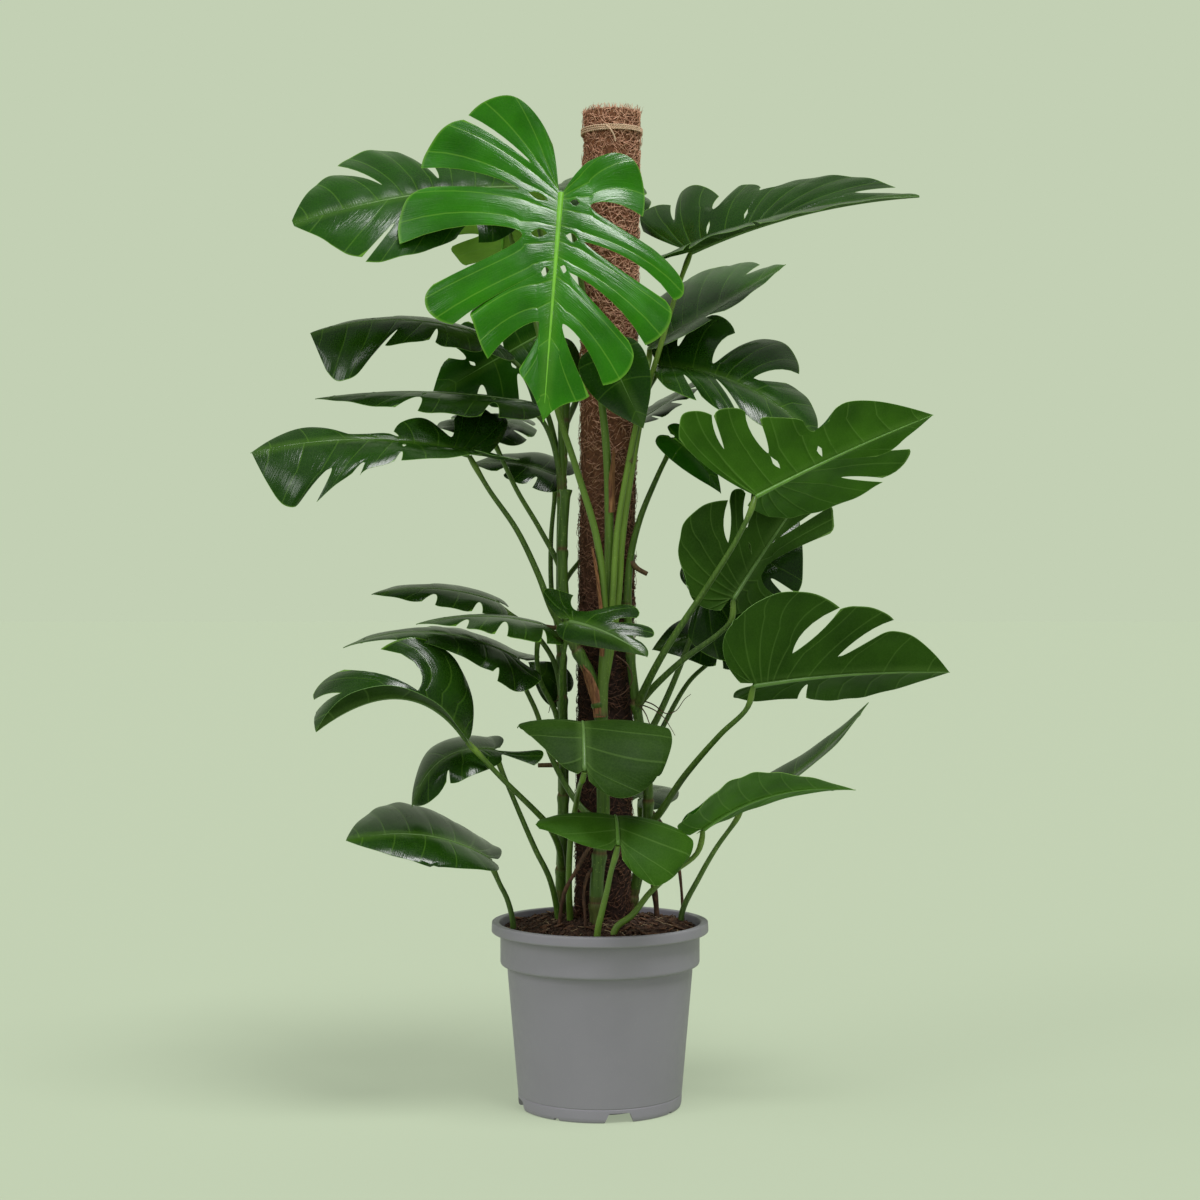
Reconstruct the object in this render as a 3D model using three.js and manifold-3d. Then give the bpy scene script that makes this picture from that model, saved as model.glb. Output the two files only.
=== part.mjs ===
// A potted swiss cheese plant on a coir climbing pole, in millimetres, +Z up.
// The origin is the middle of the pot's foot on the ground. The front of the plant, where its
// large young leaf hangs, faces -Y, and +X is to the right seen from there.

import * as THREE from "three";
import { mergeVertices } from "three/addons/utils/BufferGeometryUtils.js";
import Module from "manifold-3d";

const wasm = await Module();
wasm.setup();

// Driving dimensions

const gap = 0.3;
const potRimRadius = 135;
const potMouthRadius = 125;
const potHeight = 228.5;
const potWall = 2.5;
const rimDepth = 13;
const collarBottom = 176;
const collarRadius = 124;
const bodyTopRadius = 115;
const footTopRadius = 101.5;
const footHeight = 16.5;
const floorThickness = 3;
const channelInnerRadius = 60;
const channelOuterRadius = 95;
const channelHeight = 13;
const potSectors = 28;
const notchHeight = 12;
const notchWidth = 34;
const smallNotchHeight = 3;
const smallNotchWidth = 8;
const notchAngles = [0, 90, 180, 270].map((degrees) => degrees - 90 + 13.5);

const soilEdge = 219;
const soilMound = 13;
const soilLump = 2.6;
const rootDepth = 184;

const poleRadius = 35.5;
const poleTop = 1240;
const poleSleeveBottom = 120;
const poleFoot = [3.5, 12];
const poleHead = [15, 12];
const stakeRadius = 12.5;
const stakeBottom = 24;
const poleSides = 16;
const coirLump = 0.6;
const twineRadius = 2.2;
const twineHeight = 1213;

const bladeThickness = 0.9;
const ribHeight = 1.6;
const ribHalfWidth = 3;
const petioleTipRadius = 2.7;
const petioleSides = 5;
const stemSides = 8;
const seatPasses = 5;
const sheathThickness = 1;

const leafGreen = 0x1d4a14;
const youngLeafGreen = 0x2f7d12;
const stemGreen = 0x3f6f22;
const rootBrown = 0x4a3428;
const sheathBrown = 0x7a5238;
const potGrey = 0x5c5b5f;
const soilBrown = 0x33231a;
const coirBrown = 0x5a3626;
const stakeBrown = 0x9a7a52;
const twineBrown = 0x6e4c38;

// Vectors and small helpers

const vec = (p) => new THREE.Vector3(p[0], p[1], p[2]);
const mix = (a, b, t) => a + (b - a) * t;
const mixPoint = (a, b, t) => [mix(a[0], b[0], t), mix(a[1], b[1], t)];
const radians = THREE.MathUtils.degToRad;

function finish(color, roughness) {
  return new THREE.MeshStandardMaterial({ color, roughness, metalness: 0 });
}

function indexedGeometry(points, faces) {
  const geometry = new THREE.BufferGeometry();
  const coordinates = points.flatMap((p) => [p.x, p.y, p.z]);
  geometry.setAttribute("position", new THREE.Float32BufferAttribute(coordinates, 3));
  geometry.setIndex(faces.flat());
  return geometry;
}

function solidOf(geometry) {
  const bare = geometry.clone();
  bare.deleteAttribute("normal");
  bare.deleteAttribute("uv");
  const merged = mergeVertices(bare, 1e-4);
  return new wasm.Manifold(new wasm.Mesh({
    numProp: 3,
    vertProperties: new Float32Array(merged.attributes.position.array),
    triVerts: new Uint32Array(merged.index.array),
  }));
}

function geometryOf(solid) {
  const mesh = solid.getMesh();
  const geometry = new THREE.BufferGeometry();
  geometry.setAttribute("position", new THREE.BufferAttribute(new Float32Array(mesh.vertProperties), 3));
  geometry.setIndex(new THREE.BufferAttribute(new Uint32Array(mesh.triVerts), 1));
  return geometry;
}

function joined(geometries) {
  return geometries.map(solidOf).reduce((sum, solid) => sum.add(solid));
}

// A round tube along a smooth curve through the given points, thinning from one radius to another

function taperedTube(points, startRadius, endRadius, { sides = 7, stepsPerSpan = 1.4 } = {}) {
  const curve = new THREE.CatmullRomCurve3(points.map(vec), false, "centripetal");
  const steps = Math.ceil((points.length - 1) * stepsPerSpan);
  const frames = curve.computeFrenetFrames(steps, false);
  const rings = [];
  for (let i = 0; i <= steps; i++) {
    const center = curve.getPointAt(i / steps);
    const radius = mix(startRadius, endRadius, i / steps);
    rings.push(Array.from({ length: sides }, (_, k) => {
      const angle = (2 * Math.PI * k) / sides;
      return center.clone()
        .addScaledVector(frames.normals[i], radius * Math.cos(angle))
        .addScaledVector(frames.binormals[i], radius * Math.sin(angle));
    }));
  }
  return lofted(rings);
}

// A body through rings of equally many points, with its two ends closed in strips

function lofted(rings) {
  const sides = rings[0].length;
  const last = (rings.length - 1) * sides;
  const faces = [];
  for (let i = 0; i < rings.length - 1; i++) {
    for (let k = 0; k < sides; k++) {
      const a = i * sides + k;
      const b = i * sides + ((k + 1) % sides);
      faces.push([a, b, b + sides], [a, b + sides, a + sides]);
    }
  }
  for (let k = 0; 2 * k < sides - 2; k++) {
    const far = sides - 1 - k;
    faces.push([k, far, k + 1], [last + k, last + k + 1, last + far]);
    if (far - 1 === k + 1) break;
    faces.push([k + 1, far, far - 1], [last + k + 1, last + far - 1, last + far]);
  }
  return indexedGeometry(rings.flat(), faces);
}

// Leaf outlines
// Flat leaf coordinates run along the midrib from the petiole and across it, in millimetres.
// Half a leaf is a row of lobes. Each lobe has a curved end, a stretch of midrib that its veins
// start from, and how far out along its veins the cuts on its two sides begin. A cut's belly is
// how much wider it is in its middle on each side.

const outlineStations = (length, width, basal) => [
  [-0.42 * basal, 0.08 * width], [-1.0 * basal, 0.36 * width], [-0.74 * basal, 0.8 * width],
  [0.06 * length, 1.0 * width], [0.34 * length, 0.94 * width], [0.62 * length, 0.66 * width],
  [0.85 * length, 0.28 * width], [length, 0],
];

function splinePoint(stations, s) {
  const spans = stations.length - 1;
  const place = Math.min(s * spans, spans - 1e-9);
  const i = Math.floor(place);
  const t = place - i;
  const at = (n) => {
    if (n < 0) return [0, 1].map((c) => 2 * stations[0][c] - stations[1][c]);
    if (n > spans) return [0, 1].map((c) => 2 * stations[spans][c] - stations[spans - 1][c]);
    return stations[n];
  };
  const [p, q, r, w] = [at(i - 1), at(i), at(i + 1), at(i + 2)];
  return [0, 1].map((c) => 0.5 * (2 * q[c] + (r[c] - p[c]) * t
    + (2 * p[c] - 5 * q[c] + 4 * r[c] - w[c]) * t * t
    + (3 * q[c] - p[c] - 3 * r[c] + w[c]) * t * t * t));
}

// Most leaves: one heart-shaped outline, cut at given places.
// A cut is [place round the outline, where it starts along the vein, half its opening].

function heartHalf({ width, basal, cuts = [], opening = 0.5, belly = [] }, length) {
  const stations = outlineStations(length, width, basal);
  const starts = [0, ...cuts.map(([s, , open]) => s + open)];
  const ends = [...cuts.map(([s, , open]) => s - open), 1];
  const inner = [0.4, ...cuts.map(([, a]) => a), 0.5];
  const rootOf = (s) => length * Math.pow(Math.max(0, (s - 0.36) / 0.64), 1.2);
  return starts.map((start, k) => ({
    root: (q) => rootOf(mix(k ? cuts[k - 1][0] : 0, k < cuts.length ? cuts[k][0] : 1, q)),
    end: (q) => splinePoint(stations, mix(start, ends[k], q)),
    inner: [inner[k], inner[k + 1]],
    opening,
    belly,
  }));
}

// Leaves drawn lobe by lobe: each lobe is [near corner, middle of its end, far corner]. The cuts
// between them begin round where their opening is 0.5, and as a V where it is 1.

function drawnHalf({ lobes, roots, inner, opening = 0.5, belly = [] }) {
  const length = lobes.at(-1)[2][0];
  const rootStops = [0, ...roots, 1];
  const innerStops = [0.4, ...inner, 0.5];
  return lobes.map(([near, middle, far], k) => ({
    root: (q) => length * mix(rootStops[k], rootStops[k + 1], q),
    end: (q) => [0, 1].map((c) => near[c] * (2 * q - 1) * (q - 1) + middle[c] * 4 * q * (1 - q)
      + far[c] * q * (2 * q - 1)),
    inner: [innerStops[k], innerStops[k + 1]],
    opening,
    belly,
  }));
}

// The point of a half leaf at lobe k, q across the lobe and row t: up to 1 the blade is whole,
// from 1 to 2 it is cut between lobes

function flatPoint(half, k, q, row) {
  const lobe = half[k];
  const length = half.at(-1).root(1);
  const center = (n) => mixPoint(half[n].end(1), half[n + 1].end(0), 0.5);
  const shiftAt = (edge, n) => {
    if (n < 0 || n > half.length - 2) return [0, 0];
    const own = lobe.end(edge);
    const middle = center(n);
    return [own[0] - middle[0], own[1] - middle[1]];
  };
  const bellyAt = (edge, n) => {
    const away = shiftAt(edge, n);
    return away.map((c) => (c * (lobe.belly[n] ?? 0)) / Math.max(Math.hypot(...away), 1e-6));
  };
  const shift = mixPoint(shiftAt(0, k - 1), shiftAt(1, k), q);
  const belly = mixPoint(bellyAt(0, k - 1), bellyAt(1, k), q);
  const end = lobe.end(q);
  const outer = [end[0] - shift[0], end[1] - shift[1]];
  const rootX = lobe.root(q);
  const root = [rootX, ribHalfWidth * Math.max(0, 1 - rootX / length)];
  const inner = mix(lobe.inner[0], lobe.inner[1], q);
  const t = row <= 1 ? inner * row : mix(inner, 1, row - 1);
  const open = row <= 1 ? 0 : (row - 1) ** lobe.opening;
  const wide = row <= 1 ? 0 : 4 * (row - 1) * (2 - row);
  const reach = Math.hypot(outer[0] - root[0], outer[1] - root[1]);
  const knee = [(root[0] + outer[0]) / 2 - 0.1 * reach, (root[1] + outer[1]) / 2];
  const vein = [0, 1].map((c) => (outer[c] - root[c]) / Math.max(reach, 1e-6));
  const alongVein = (shift[0] * vein[0] + shift[1] * vein[1]) * (Math.max(0, row - 1) - open);
  return [0, 1].map((c) => (1 - t) ** 2 * root[c] + 2 * t * (1 - t) * knee[c] + t * t * outer[c]
    + shift[c] * open + belly[c] * wide + vein[c] * alongVein);
}

// Where a leaf lies in space: its midrib is an arc from the petiole to the tip, and each half
// rises from it by its fold and curls down towards its edge

function bladeFrame(leaf) {
  const base = vec(leaf.base);
  const tip = vec(leaf.tip);
  const chord = tip.clone().sub(base);
  const length = chord.length();
  chord.normalize();
  const up = vec(leaf.face);
  up.addScaledVector(chord, -up.dot(chord)).normalize();
  const side = new THREE.Vector3().crossVectors(up, chord);
  const knee = base.clone().lerp(tip, 0.5)
    .addScaledVector(up, 2 * (leaf.arch ?? 0))
    .addScaledVector(side, 2 * (leaf.sway ?? 0));
  const at = (u) => {
    const v = Math.min(Math.max(u, 0), 1);
    const point = new THREE.Vector3()
      .addScaledVector(base, (1 - v) ** 2)
      .addScaledVector(knee, 2 * v * (1 - v))
      .addScaledVector(tip, v * v);
    const along = new THREE.Vector3()
      .addScaledVector(knee.clone().sub(base), 2 * (1 - v))
      .addScaledVector(tip.clone().sub(knee), 2 * v)
      .normalize();
    const normal = up.clone().applyAxisAngle(chord, radians(leaf.twist ?? 0) * v);
    normal.addScaledVector(along, -normal.dot(along)).normalize();
    return { point, along, normal, across: new THREE.Vector3().crossVectors(normal, along) };
  };
  return { length, at };
}

function bladePoint(leaf, frame, [x, y], hand, width, basal) {
  const u = x / frame.length;
  const { point, along, normal, across } = frame.at(u);
  const place = point.clone();
  if (u < 0) {
    const lift = radians(leaf.back ?? 0) * Math.min(1.4, -x / basal);
    place.addScaledVector(along, x * Math.cos(lift)).addScaledVector(normal, -x * Math.sin(lift));
  }
  const [foldStart, foldEnd] = hand > 0 ? leaf.foldRight : leaf.foldLeft;
  const fold = radians(mix(foldStart, foldEnd, Math.min(Math.max(u, 0), 1)));
  const slope = fold - radians(leaf.curl ?? 0) * 0.5 * Math.min(y / width, 1.3);
  const wave = (leaf.wave ?? 0) * Math.sin((x / frame.length) * 9 + hand) * (y / width) ** 2;
  return place
    .addScaledVector(across, hand * y * Math.cos(slope))
    .addScaledVector(normal, y * Math.sin(slope) + wave);
}

// The blade as a closed solid: the halves' grids are joined by a strip along the midrib, and the
// sheet is given its thickness alike on both faces

const lobeRows = [0, 1, 1.4, 2];
const columnsPerLobe = 2;
const columnsUncut = 7;

function bladeSheet(leaf) {
  const frame = bladeFrame(leaf);
  const points = [];
  const isRib = [];
  const lookup = new Map();
  const faces = [];
  const vertex = (p, rib) => {
    const key = [p.x, p.y, p.z].map((c) => Math.round(c * 200)).join();
    if (!lookup.has(key)) {
      lookup.set(key, points.length);
      points.push(p);
      isRib.push(rib);
    }
    return lookup.get(key);
  };
  const addFace = (hand, a, b, c) => {
    if (a === b || b === c || a === c) return;
    faces.push(hand > 0 ? [a, b, c] : [a, c, b]);
  };
  const ribs = {};
  for (const hand of [1, -1]) {
    const spec = hand > 0 ? leaf.right : leaf.left;
    const half = spec.lobes ? drawnHalf(spec) : heartHalf(spec, frame.length);
    const width = spec.width;
    const basal = spec.basal;
    const rib = [];
    const columns = half.length > 1 ? columnsPerLobe : columnsUncut;
    for (let k = 0; k < half.length; k++) {
      const grid = [];
      for (let j = 0; j <= columns; j++) {
        grid.push(lobeRows.map((row) => {
          const flat = flatPoint(half, k, j / columns, row);
          return vertex(bladePoint(leaf, frame, flat, hand, width, basal), row === 0);
        }));
        if (rib.at(-1)?.index !== grid[j][0]) {
          rib.push({ index: grid[j][0], x: half[k].root(j / columns) });
        }
      }
      for (let j = 0; j < columns; j++) {
        for (let i = 0; i < lobeRows.length - 1; i++) {
          addFace(hand, grid[j][i], grid[j + 1][i], grid[j + 1][i + 1]);
          addFace(hand, grid[j][i], grid[j + 1][i + 1], grid[j][i + 1]);
        }
      }
    }
    ribs[hand] = rib;
  }
  zipStrip(ribs[1], ribs[-1], faces);
  return { frame, points, isRib, faces };
}

// Triangles between the two sides of the midrib, whose points lie at different places along it

function zipStrip(right, left, faces) {
  let i = 0;
  let j = 0;
  while (i < right.length - 1 || j < left.length - 1) {
    const advanceRight = j === left.length - 1
      || (i < right.length - 1 && right[i + 1].x <= left[j + 1].x);
    const face = advanceRight
      ? [left[j].index, right[i + 1].index, right[i].index]
      : [left[j].index, left[j + 1].index, right[i].index];
    if (new Set(face).size === 3) faces.push(face);
    if (advanceRight) i += 1;
    else j += 1;
  }
}

function thickened({ points, isRib, faces, frame }, base) {
  const normals = points.map(() => new THREE.Vector3());
  const edges = new Set();
  for (const [a, b, c] of faces) {
    const normal = points[b].clone().sub(points[a]).cross(points[c].clone().sub(points[a]));
    [a, b, c].forEach((n) => normals[n].add(normal));
    [[a, b], [b, c], [c, a]].forEach(([m, n]) => edges.add(`${m},${n}`));
  }
  normals.forEach((normal) => normal.normalize());
  const half = bladeThickness / 2;
  const count = points.length;
  const above = points.map((p, n) => p.clone().addScaledVector(normals[n], half));
  const below = points.map((p, n) => {
    const away = Math.min(1, p.distanceTo(base) / frame.length);
    const rib = isRib[n] ? ribHeight * Math.min(1, 6 * away) * (1 - away) : 0;
    return p.clone().addScaledVector(normals[n], -half - rib);
  });
  const closed = faces.map((face) => [...face]);
  for (const [a, b, c] of faces) closed.push([c + count, b + count, a + count]);
  for (const edge of edges) {
    const [a, b] = edge.split(",").map(Number);
    if (edges.has(`${b},${a}`)) continue;
    closed.push([b, a, a + count], [b, a + count, b + count]);
  }
  return indexedGeometry([...above, ...below], closed);
}

const bladeGeometry = (leaf) => thickened(bladeSheet(leaf), vec(leaf.base));

// The leaves
// face is the way the upper side looks at the middle of the midrib. right and left are the halves
// as seen on the upper side with the tip pointing down.

const fewCuts = [[0.42, 0.5, 0.016], [0.6, 0.42, 0.024], [0.76, 0.45, 0.024]];
const twoCuts = [[0.5, 0.5, 0.02], [0.7, 0.45, 0.03]];

const leaves = [
  { name: "leaf_01_crown", young: true, base: [-46, -130, 1113], tip: [-65, -215, 832],
    face: [0.05, -0.93, 0.3], arch: 8, foldRight: [4, 4], foldLeft: [4, 4], curl: 14, back: 14,
    right: {
      width: 151, basal: 60,
      lobes: [
        [[-43, 29], [-50, 83], [22, 102]],
        [[63, 116], [101, 151], [127, 145]],
        [[130, 136], [159, 138], [190, 114]],
        [[188, 95], [220, 95], [246, 67]],
        [[262, 53], [272, 21], [294, 0]],
      ],
      roots: [0.05, 0.2, 0.34, 0.54],
      inner: [0.31, 0.21, 0.15, 0.21],
      belly: [3, 9, 7, 3],
    },
    left: {
      width: 188, basal: 110,
      lobes: [
        [[-64, 14], [-114, 63], [-93, 120]],
        [[-89, 127], [-65, 154], [-25, 172]],
        [[0, 161], [27, 185], [81, 188]],
        [[134, 145], [165, 145], [184, 116]],
        [[166, 96], [184, 88], [225, 71]],
        [[236, 35], [256, 18], [294, 0]],
      ],
      roots: [0, 0.07, 0.2, 0.36, 0.55],
      inner: [0.29, 0.29, 0.24, 0.18, 0.24],
      belly: [0, 2, 3, 6, 2],
    } },
  { name: "leaf_02_upper_left", base: [-98, -40, 1135], tip: [-364, -128, 1074],
    face: [0.1, -0.75, 0.65], arch: 14, foldRight: [4, 4], foldLeft: [4, 4], curl: 16, back: -5,
    right: {
      width: 89, basal: 30,
      lobes: [
        [[-6, 24], [30, 72], [84, 88]],
        [[110, 78], [168, 89], [227, 85]],
        [[231, 79], [258, 42], [290, 0]],
      ],
      roots: [0.2, 0.45],
      inner: [0.7, 0.52],
    },
    left: {
      width: 113, basal: 41,
      lobes: [
        [[-36, 30], [-30, 76], [24, 76]],
        [[38, 73], [60, 84], [96, 79]],
        [[108, 76], [151, 113], [207, 97]],
        [[200, 72], [240, 64], [290, 0]],
      ],
      roots: [0.15, 0.35, 0.55],
      inner: [0.34, 0.28, 0.3],
    } },
  { name: "leaf_03_behind_crown", young: true, base: [-122, 60, 1126], tip: [-131, 108, 1014],
    face: [0.05, 0.93, 0.35], arch: 8, foldRight: [8, 8], foldLeft: [8, 8], curl: 20, back: -10,
    right: { width: 80, basal: 80, cuts: fewCuts }, left: { width: 70, basal: 80, cuts: fewCuts } },
  { name: "leaf_04_behind_pole", base: [4, 92, 1143], tip: [-8, 240, 1204],
    face: [0, -0.53, 0.85], arch: 10, foldRight: [14, 6], foldLeft: [14, 6], curl: 30, back: -10,
    right: { width: 85, basal: 50, cuts: twoCuts }, left: { width: 64, basal: 36, cuts: twoCuts } },
  { name: "leaf_05_upper_right", base: [111, -20, 1058], tip: [386, -80, 1115],
    face: [-0.2, -0.5, 0.85], arch: 14, foldRight: [24, 12], foldLeft: [34, 28], curl: 10, back: 10,
    right: {
      width: 134, basal: 57,
      lobes: [
        [[-57, 72], [-51, 111], [-17, 115]],
        [[-8, 118], [14, 134], [46, 98]],
        [[69, 103], [82, 100], [99, 89]],
        [[108, 80], [190, 78], [264, 42]],
        [[252, 30], [272, 18], [292, 0]],
      ],
      roots: [0, 0.08, 0.24, 0.4],
      inner: [0.58, 0.59, 0.88, 0.71],
    },
    left: {
      width: 95, basal: 45,
      lobes: [
        [[-30, 20], [-45, 60], [10, 85]],
        [[16, 84], [60, 95], [98, 84]],
        [[104, 80], [190, 62], [292, 0]],
      ],
      roots: [0.1, 0.3],
      inner: [0.6, 0.6],
    } },
  { name: "leaf_06_right_raised", base: [61, -25, 940], tip: [240, 100, 1062],
    face: [-0.3, -0.62, 0.72], arch: 0, foldRight: [14, 0], foldLeft: [24, 12], curl: 6, back: 5,
    right: {
      width: 99, basal: 20,
      lobes: [
        [[4, 12], [60, 74], [160, 94]],
        [[160, 94], [198, 99], [224, 84]],
        [[224, 84], [244, 72], [252, 48]],
        [[236, 40], [246, 20], [248, 0]],
      ],
      roots: [0.2, 0.4, 0.6],
      inner: [1, 1, 0.63],
    },
    left: { width: 34, basal: 12, cuts: [[0.6, 0.5, 0.03]] } },
  { name: "leaf_07_right_arching", base: [71, -20, 917], tip: [262, -80, 822],
    face: [0.15, -0.45, 0.88], arch: 24, foldRight: [30, 10], foldLeft: [10, 0], curl: 14, back: 5,
    right: {
      width: 129, basal: 32,
      lobes: [
        [[-23, 37], [-32, 77], [3, 111]],
        [[16, 113], [34, 123], [58, 104]],
        [[75, 86], [110, 125], [151, 93]],
        [[150, 60], [190, 50], [221, 0]],
      ],
      roots: [0.1, 0.3, 0.5],
      inner: [0.32, 0.17, 0.24],
      belly: [0, 3, 6],
    },
    left: {
      width: 77, basal: 24,
      lobes: [
        [[4, 14], [34, 64], [85, 73]],
        [[88, 62], [126, 77], [148, 70]],
        [[138, 50], [182, 44], [221, 0]],
      ],
      roots: [0.1, 0.3],
      inner: [0.46, 0.25],
    } },
  { name: "leaf_08_right_large", base: [184, -110, 751], tip: [412, -20, 857],
    face: [-0.25, 0.8, 0.5], arch: 6, foldRight: [34, 20], foldLeft: [14, 10], curl: 10, back: 10,
    right: {
      width: 79, basal: 20,
      lobes: [
        [[-6, 14], [80, 84], [200, 79]],
        [[201, 72], [228, 60], [236, 38]],
        [[188, 26], [226, 20], [267, 0]],
      ],
      roots: [0.2, 0.4],
      inner: [0.64, 0.2],
      belly: [1, 3],
    },
    left: {
      width: 136, basal: 78,
      lobes: [
        [[-78, 108], [-65, 136], [-34, 127]],
        [[-31, 126], [-10, 123], [10, 113]],
        [[28, 96], [57, 81], [87, 67]],
        [[123, 54], [169, 58], [267, 0]],
      ],
      roots: [0.02, 0.2, 0.4],
      inner: [0.57, 0.39, 0.7],
      belly: [2, 5, 0],
    } },
  { name: "leaf_09_right_young", young: true, base: [92, 10, 831], tip: [152, 22, 762],
    face: [0.2, -0.8, 0.5], arch: 8, foldRight: [10, 8], foldLeft: [10, 8], curl: 20, back: -10,
    right: { width: 26, basal: 16 }, left: { width: 28, basal: 16 } },
  { name: "leaf_10_right_middle", base: [161, -60, 628], tip: [279, 22, 793],
    face: [-0.25, 0.85, 0.35], arch: 4, foldRight: [14, 10], foldLeft: [14, 10], curl: 16, back: 0,
    right: {
      width: 82, basal: 24,
      lobes: [
        [[-10, 16], [20, 40], [72, 80]],
        [[171, 66], [186, 56], [195, 40]],
        [[188, 30], [196, 18], [202, 0]],
      ],
      roots: [0.2, 0.45],
      inner: [0.25, 0.26],
    },
    left: {
      width: 113, basal: 37,
      lobes: [
        [[-22, 6], [-38, 36], [-32, 65]],
        [[-32, 65], [20, 113], [90, 86]],
        [[93, 84], [108, 82], [115, 71]],
        [[122, 65], [158, 46], [202, 0]],
      ],
      roots: [0, 0.12, 0.3],
      inner: [1, 0.52, 0.5],
      belly: [0, 5, 2],
    } },
  { name: "leaf_11_right_behind", base: [133, 18, 647], tip: [255, 72, 731],
    face: [0.1, -0.9, 0.4], arch: 8, foldRight: [8, 8], foldLeft: [8, 8], curl: 20, back: 0,
    right: { width: 42, basal: 20, cuts: [[0.6, 0.5, 0.02]] },
    left: { width: 112, basal: 60, cuts: [[0.66, 0.5, 0.02]] } },
  { name: "leaf_12_small_behind_right", base: [156, 77, 577], tip: [66, 44, 565],
    face: [0, -0.75, 0.65], arch: 10, foldRight: [8, 8], foldLeft: [8, 8], curl: 24, back: -10,
    right: { width: 48, basal: 30, cuts: [[0.5, 0.5, 0.03]] }, left: { width: 44, basal: 30 } },
  { name: "leaf_13_right_lower", base: [182, -120, 526], tip: [421, -90, 541],
    face: [-0.1, 0.85, 0.5], arch: 10, foldRight: [52, 36], foldLeft: [14, 8], curl: 10, back: 5,
    right: {
      width: 70, basal: 20,
      lobes: [
        [[-12, 14], [0, 58], [70, 68]],
        [[80, 68], [150, 66], [241, 0]],
      ],
      roots: [0.35],
      inner: [0.5],
    },
    left: {
      width: 118, basal: 37,
      lobes: [
        [[-16, 6], [-37, 50], [-25, 89]],
        [[-25, 89], [37, 118], [105, 95]],
        [[108, 94], [139, 90], [171, 76]],
        [[155, 55], [193, 50], [241, 0]],
      ],
      roots: [0, 0.12, 0.34],
      inner: [1, 0.34, 0.35],
      belly: [0, 8, 7],
    } },
  { name: "leaf_14_right_narrow", base: [181, 60, 367], tip: [344, 75, 497],
    face: [-0.3, -0.15, 0.9], arch: -14, foldRight: [20, 10], foldLeft: [20, 10], curl: 10, back: 0,
    right: { width: 45, basal: 24 }, left: { width: 30, basal: 10 } },
  { name: "leaf_15_right_low", base: [124, -60, 348], tip: [315, -30, 394],
    face: [-0.1, 0.75, 0.66], arch: 26, foldRight: [35, 35], foldLeft: [-10, -24], curl: 0, back: 10,
    right: {
      width: 44, basal: 12,
      lobes: [[[-4, 10], [70, 52], [197, 0]]],
      roots: [],
      inner: [],
    },
    left: {
      width: 76, basal: 22,
      lobes: [
        [[-20, 6], [-40, 38], [-30, 62]],
        [[-30, 62], [70, 84], [197, 0]],
      ],
      roots: [0],
      inner: [1],
    } },
  { name: "leaf_16_front_upper", base: [-18, -190, 430], tip: [-24, -62, 436],
    face: [0, 0.1, 0.99], arch: 50, foldRight: [12, 4], foldLeft: [8, 4], curl: 10, back: 0,
    right: {
      width: 76, basal: 10,
      lobes: [
        [[-4, 8], [16, 46], [52, 76]],
        [[52, 76], [100, 62], [128, 0]],
      ],
      roots: [0.3],
      inner: [1],
    },
    left: {
      width: 98, basal: 28,
      lobes: [
        [[-12, 5], [-34, 44], [-6, 84]],
        [[-6, 84], [60, 96], [128, 0]],
      ],
      roots: [0.06],
      inner: [1],
    } },
  { name: "leaf_17_front_lower", base: [21, -170, 342], tip: [12, -70, 338],
    face: [0.05, 0.05, 0.99], arch: 31, foldRight: [12, 2], foldLeft: [0, 4], curl: 16, back: -6,
    right: {
      width: 96, basal: 10,
      lobes: [
        [[-8, 8], [-2, 48], [22, 96]],
        [[22, 96], [62, 66], [100, 0]],
      ],
      roots: [0.2],
      inner: [1],
    },
    left: {
      width: 84, basal: 34,
      lobes: [
        [[-18, 5], [-44, 44], [-10, 80]],
        [[-10, 80], [44, 86], [100, 0]],
      ],
      roots: [0.06],
      inner: [1],
    } },
  { name: "leaf_18_left_low", base: [-133, -60, 312], tip: [-301, -130, 343],
    face: [0.25, -0.45, 0.84], arch: 22, foldRight: [16, -8], foldLeft: [0, -6], curl: 10, back: 10,
    right: {
      width: 60, basal: 20,
      lobes: [
        [[-8, 8], [20, 42], [90, 53]],
        [[90, 53], [140, 34], [185, 0]],
      ],
      roots: [0.4],
      inner: [1],
    },
    left: {
      width: 82, basal: 24,
      lobes: [
        [[-16, 12], [-26, 54], [30, 70]],
        [[30, 70], [120, 92], [185, 0]],
      ],
      roots: [0.2],
      inner: [1],
    } },
  { name: "leaf_19_left_long", base: [-101, -40, 557], tip: [-313, -60, 570],
    face: [0.05, -0.26, 0.96], arch: 26, foldRight: [-12, 8], foldLeft: [0, 0], curl: 10, back: 20,
    right: {
      width: 62, basal: 24,
      lobes: [
        [[-12, 10], [-34, 48], [18, 66]],
        [[26, 54], [110, 36], [213, 0]],
      ],
      roots: [0.12],
      inner: [0.7],
    },
    left: { width: 72, basal: 30, cuts: twoCuts } },
  { name: "leaf_20_left_raised_lobe", base: [-159, -95, 459], tip: [-334, -150, 473],
    face: [0.2, -0.5, 0.84], arch: 56, foldRight: [10, 105], foldLeft: [46, 4], curl: 10, back: 5,
    right: {
      width: 54, basal: 16,
      lobes: [[[-8, 10], [90, 36], [184, 0]]],
      roots: [],
      inner: [],
    },
    left: {
      width: 118, basal: 24, opening: 1,
      lobes: [
        [[2, 14], [46, 84], [108, 82]],
        [[150, 80], [174, 84], [188, 76]],
        [[184, 52], [192, 26], [184, 0]],
      ],
      roots: [0.36, 0.7],
      inner: [0.14, 0.5],
      belly: [13, 0],
    } },
  { name: "leaf_21_left_hanging", base: [-128, -45, 445], tip: [-228, -75, 377],
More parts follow.
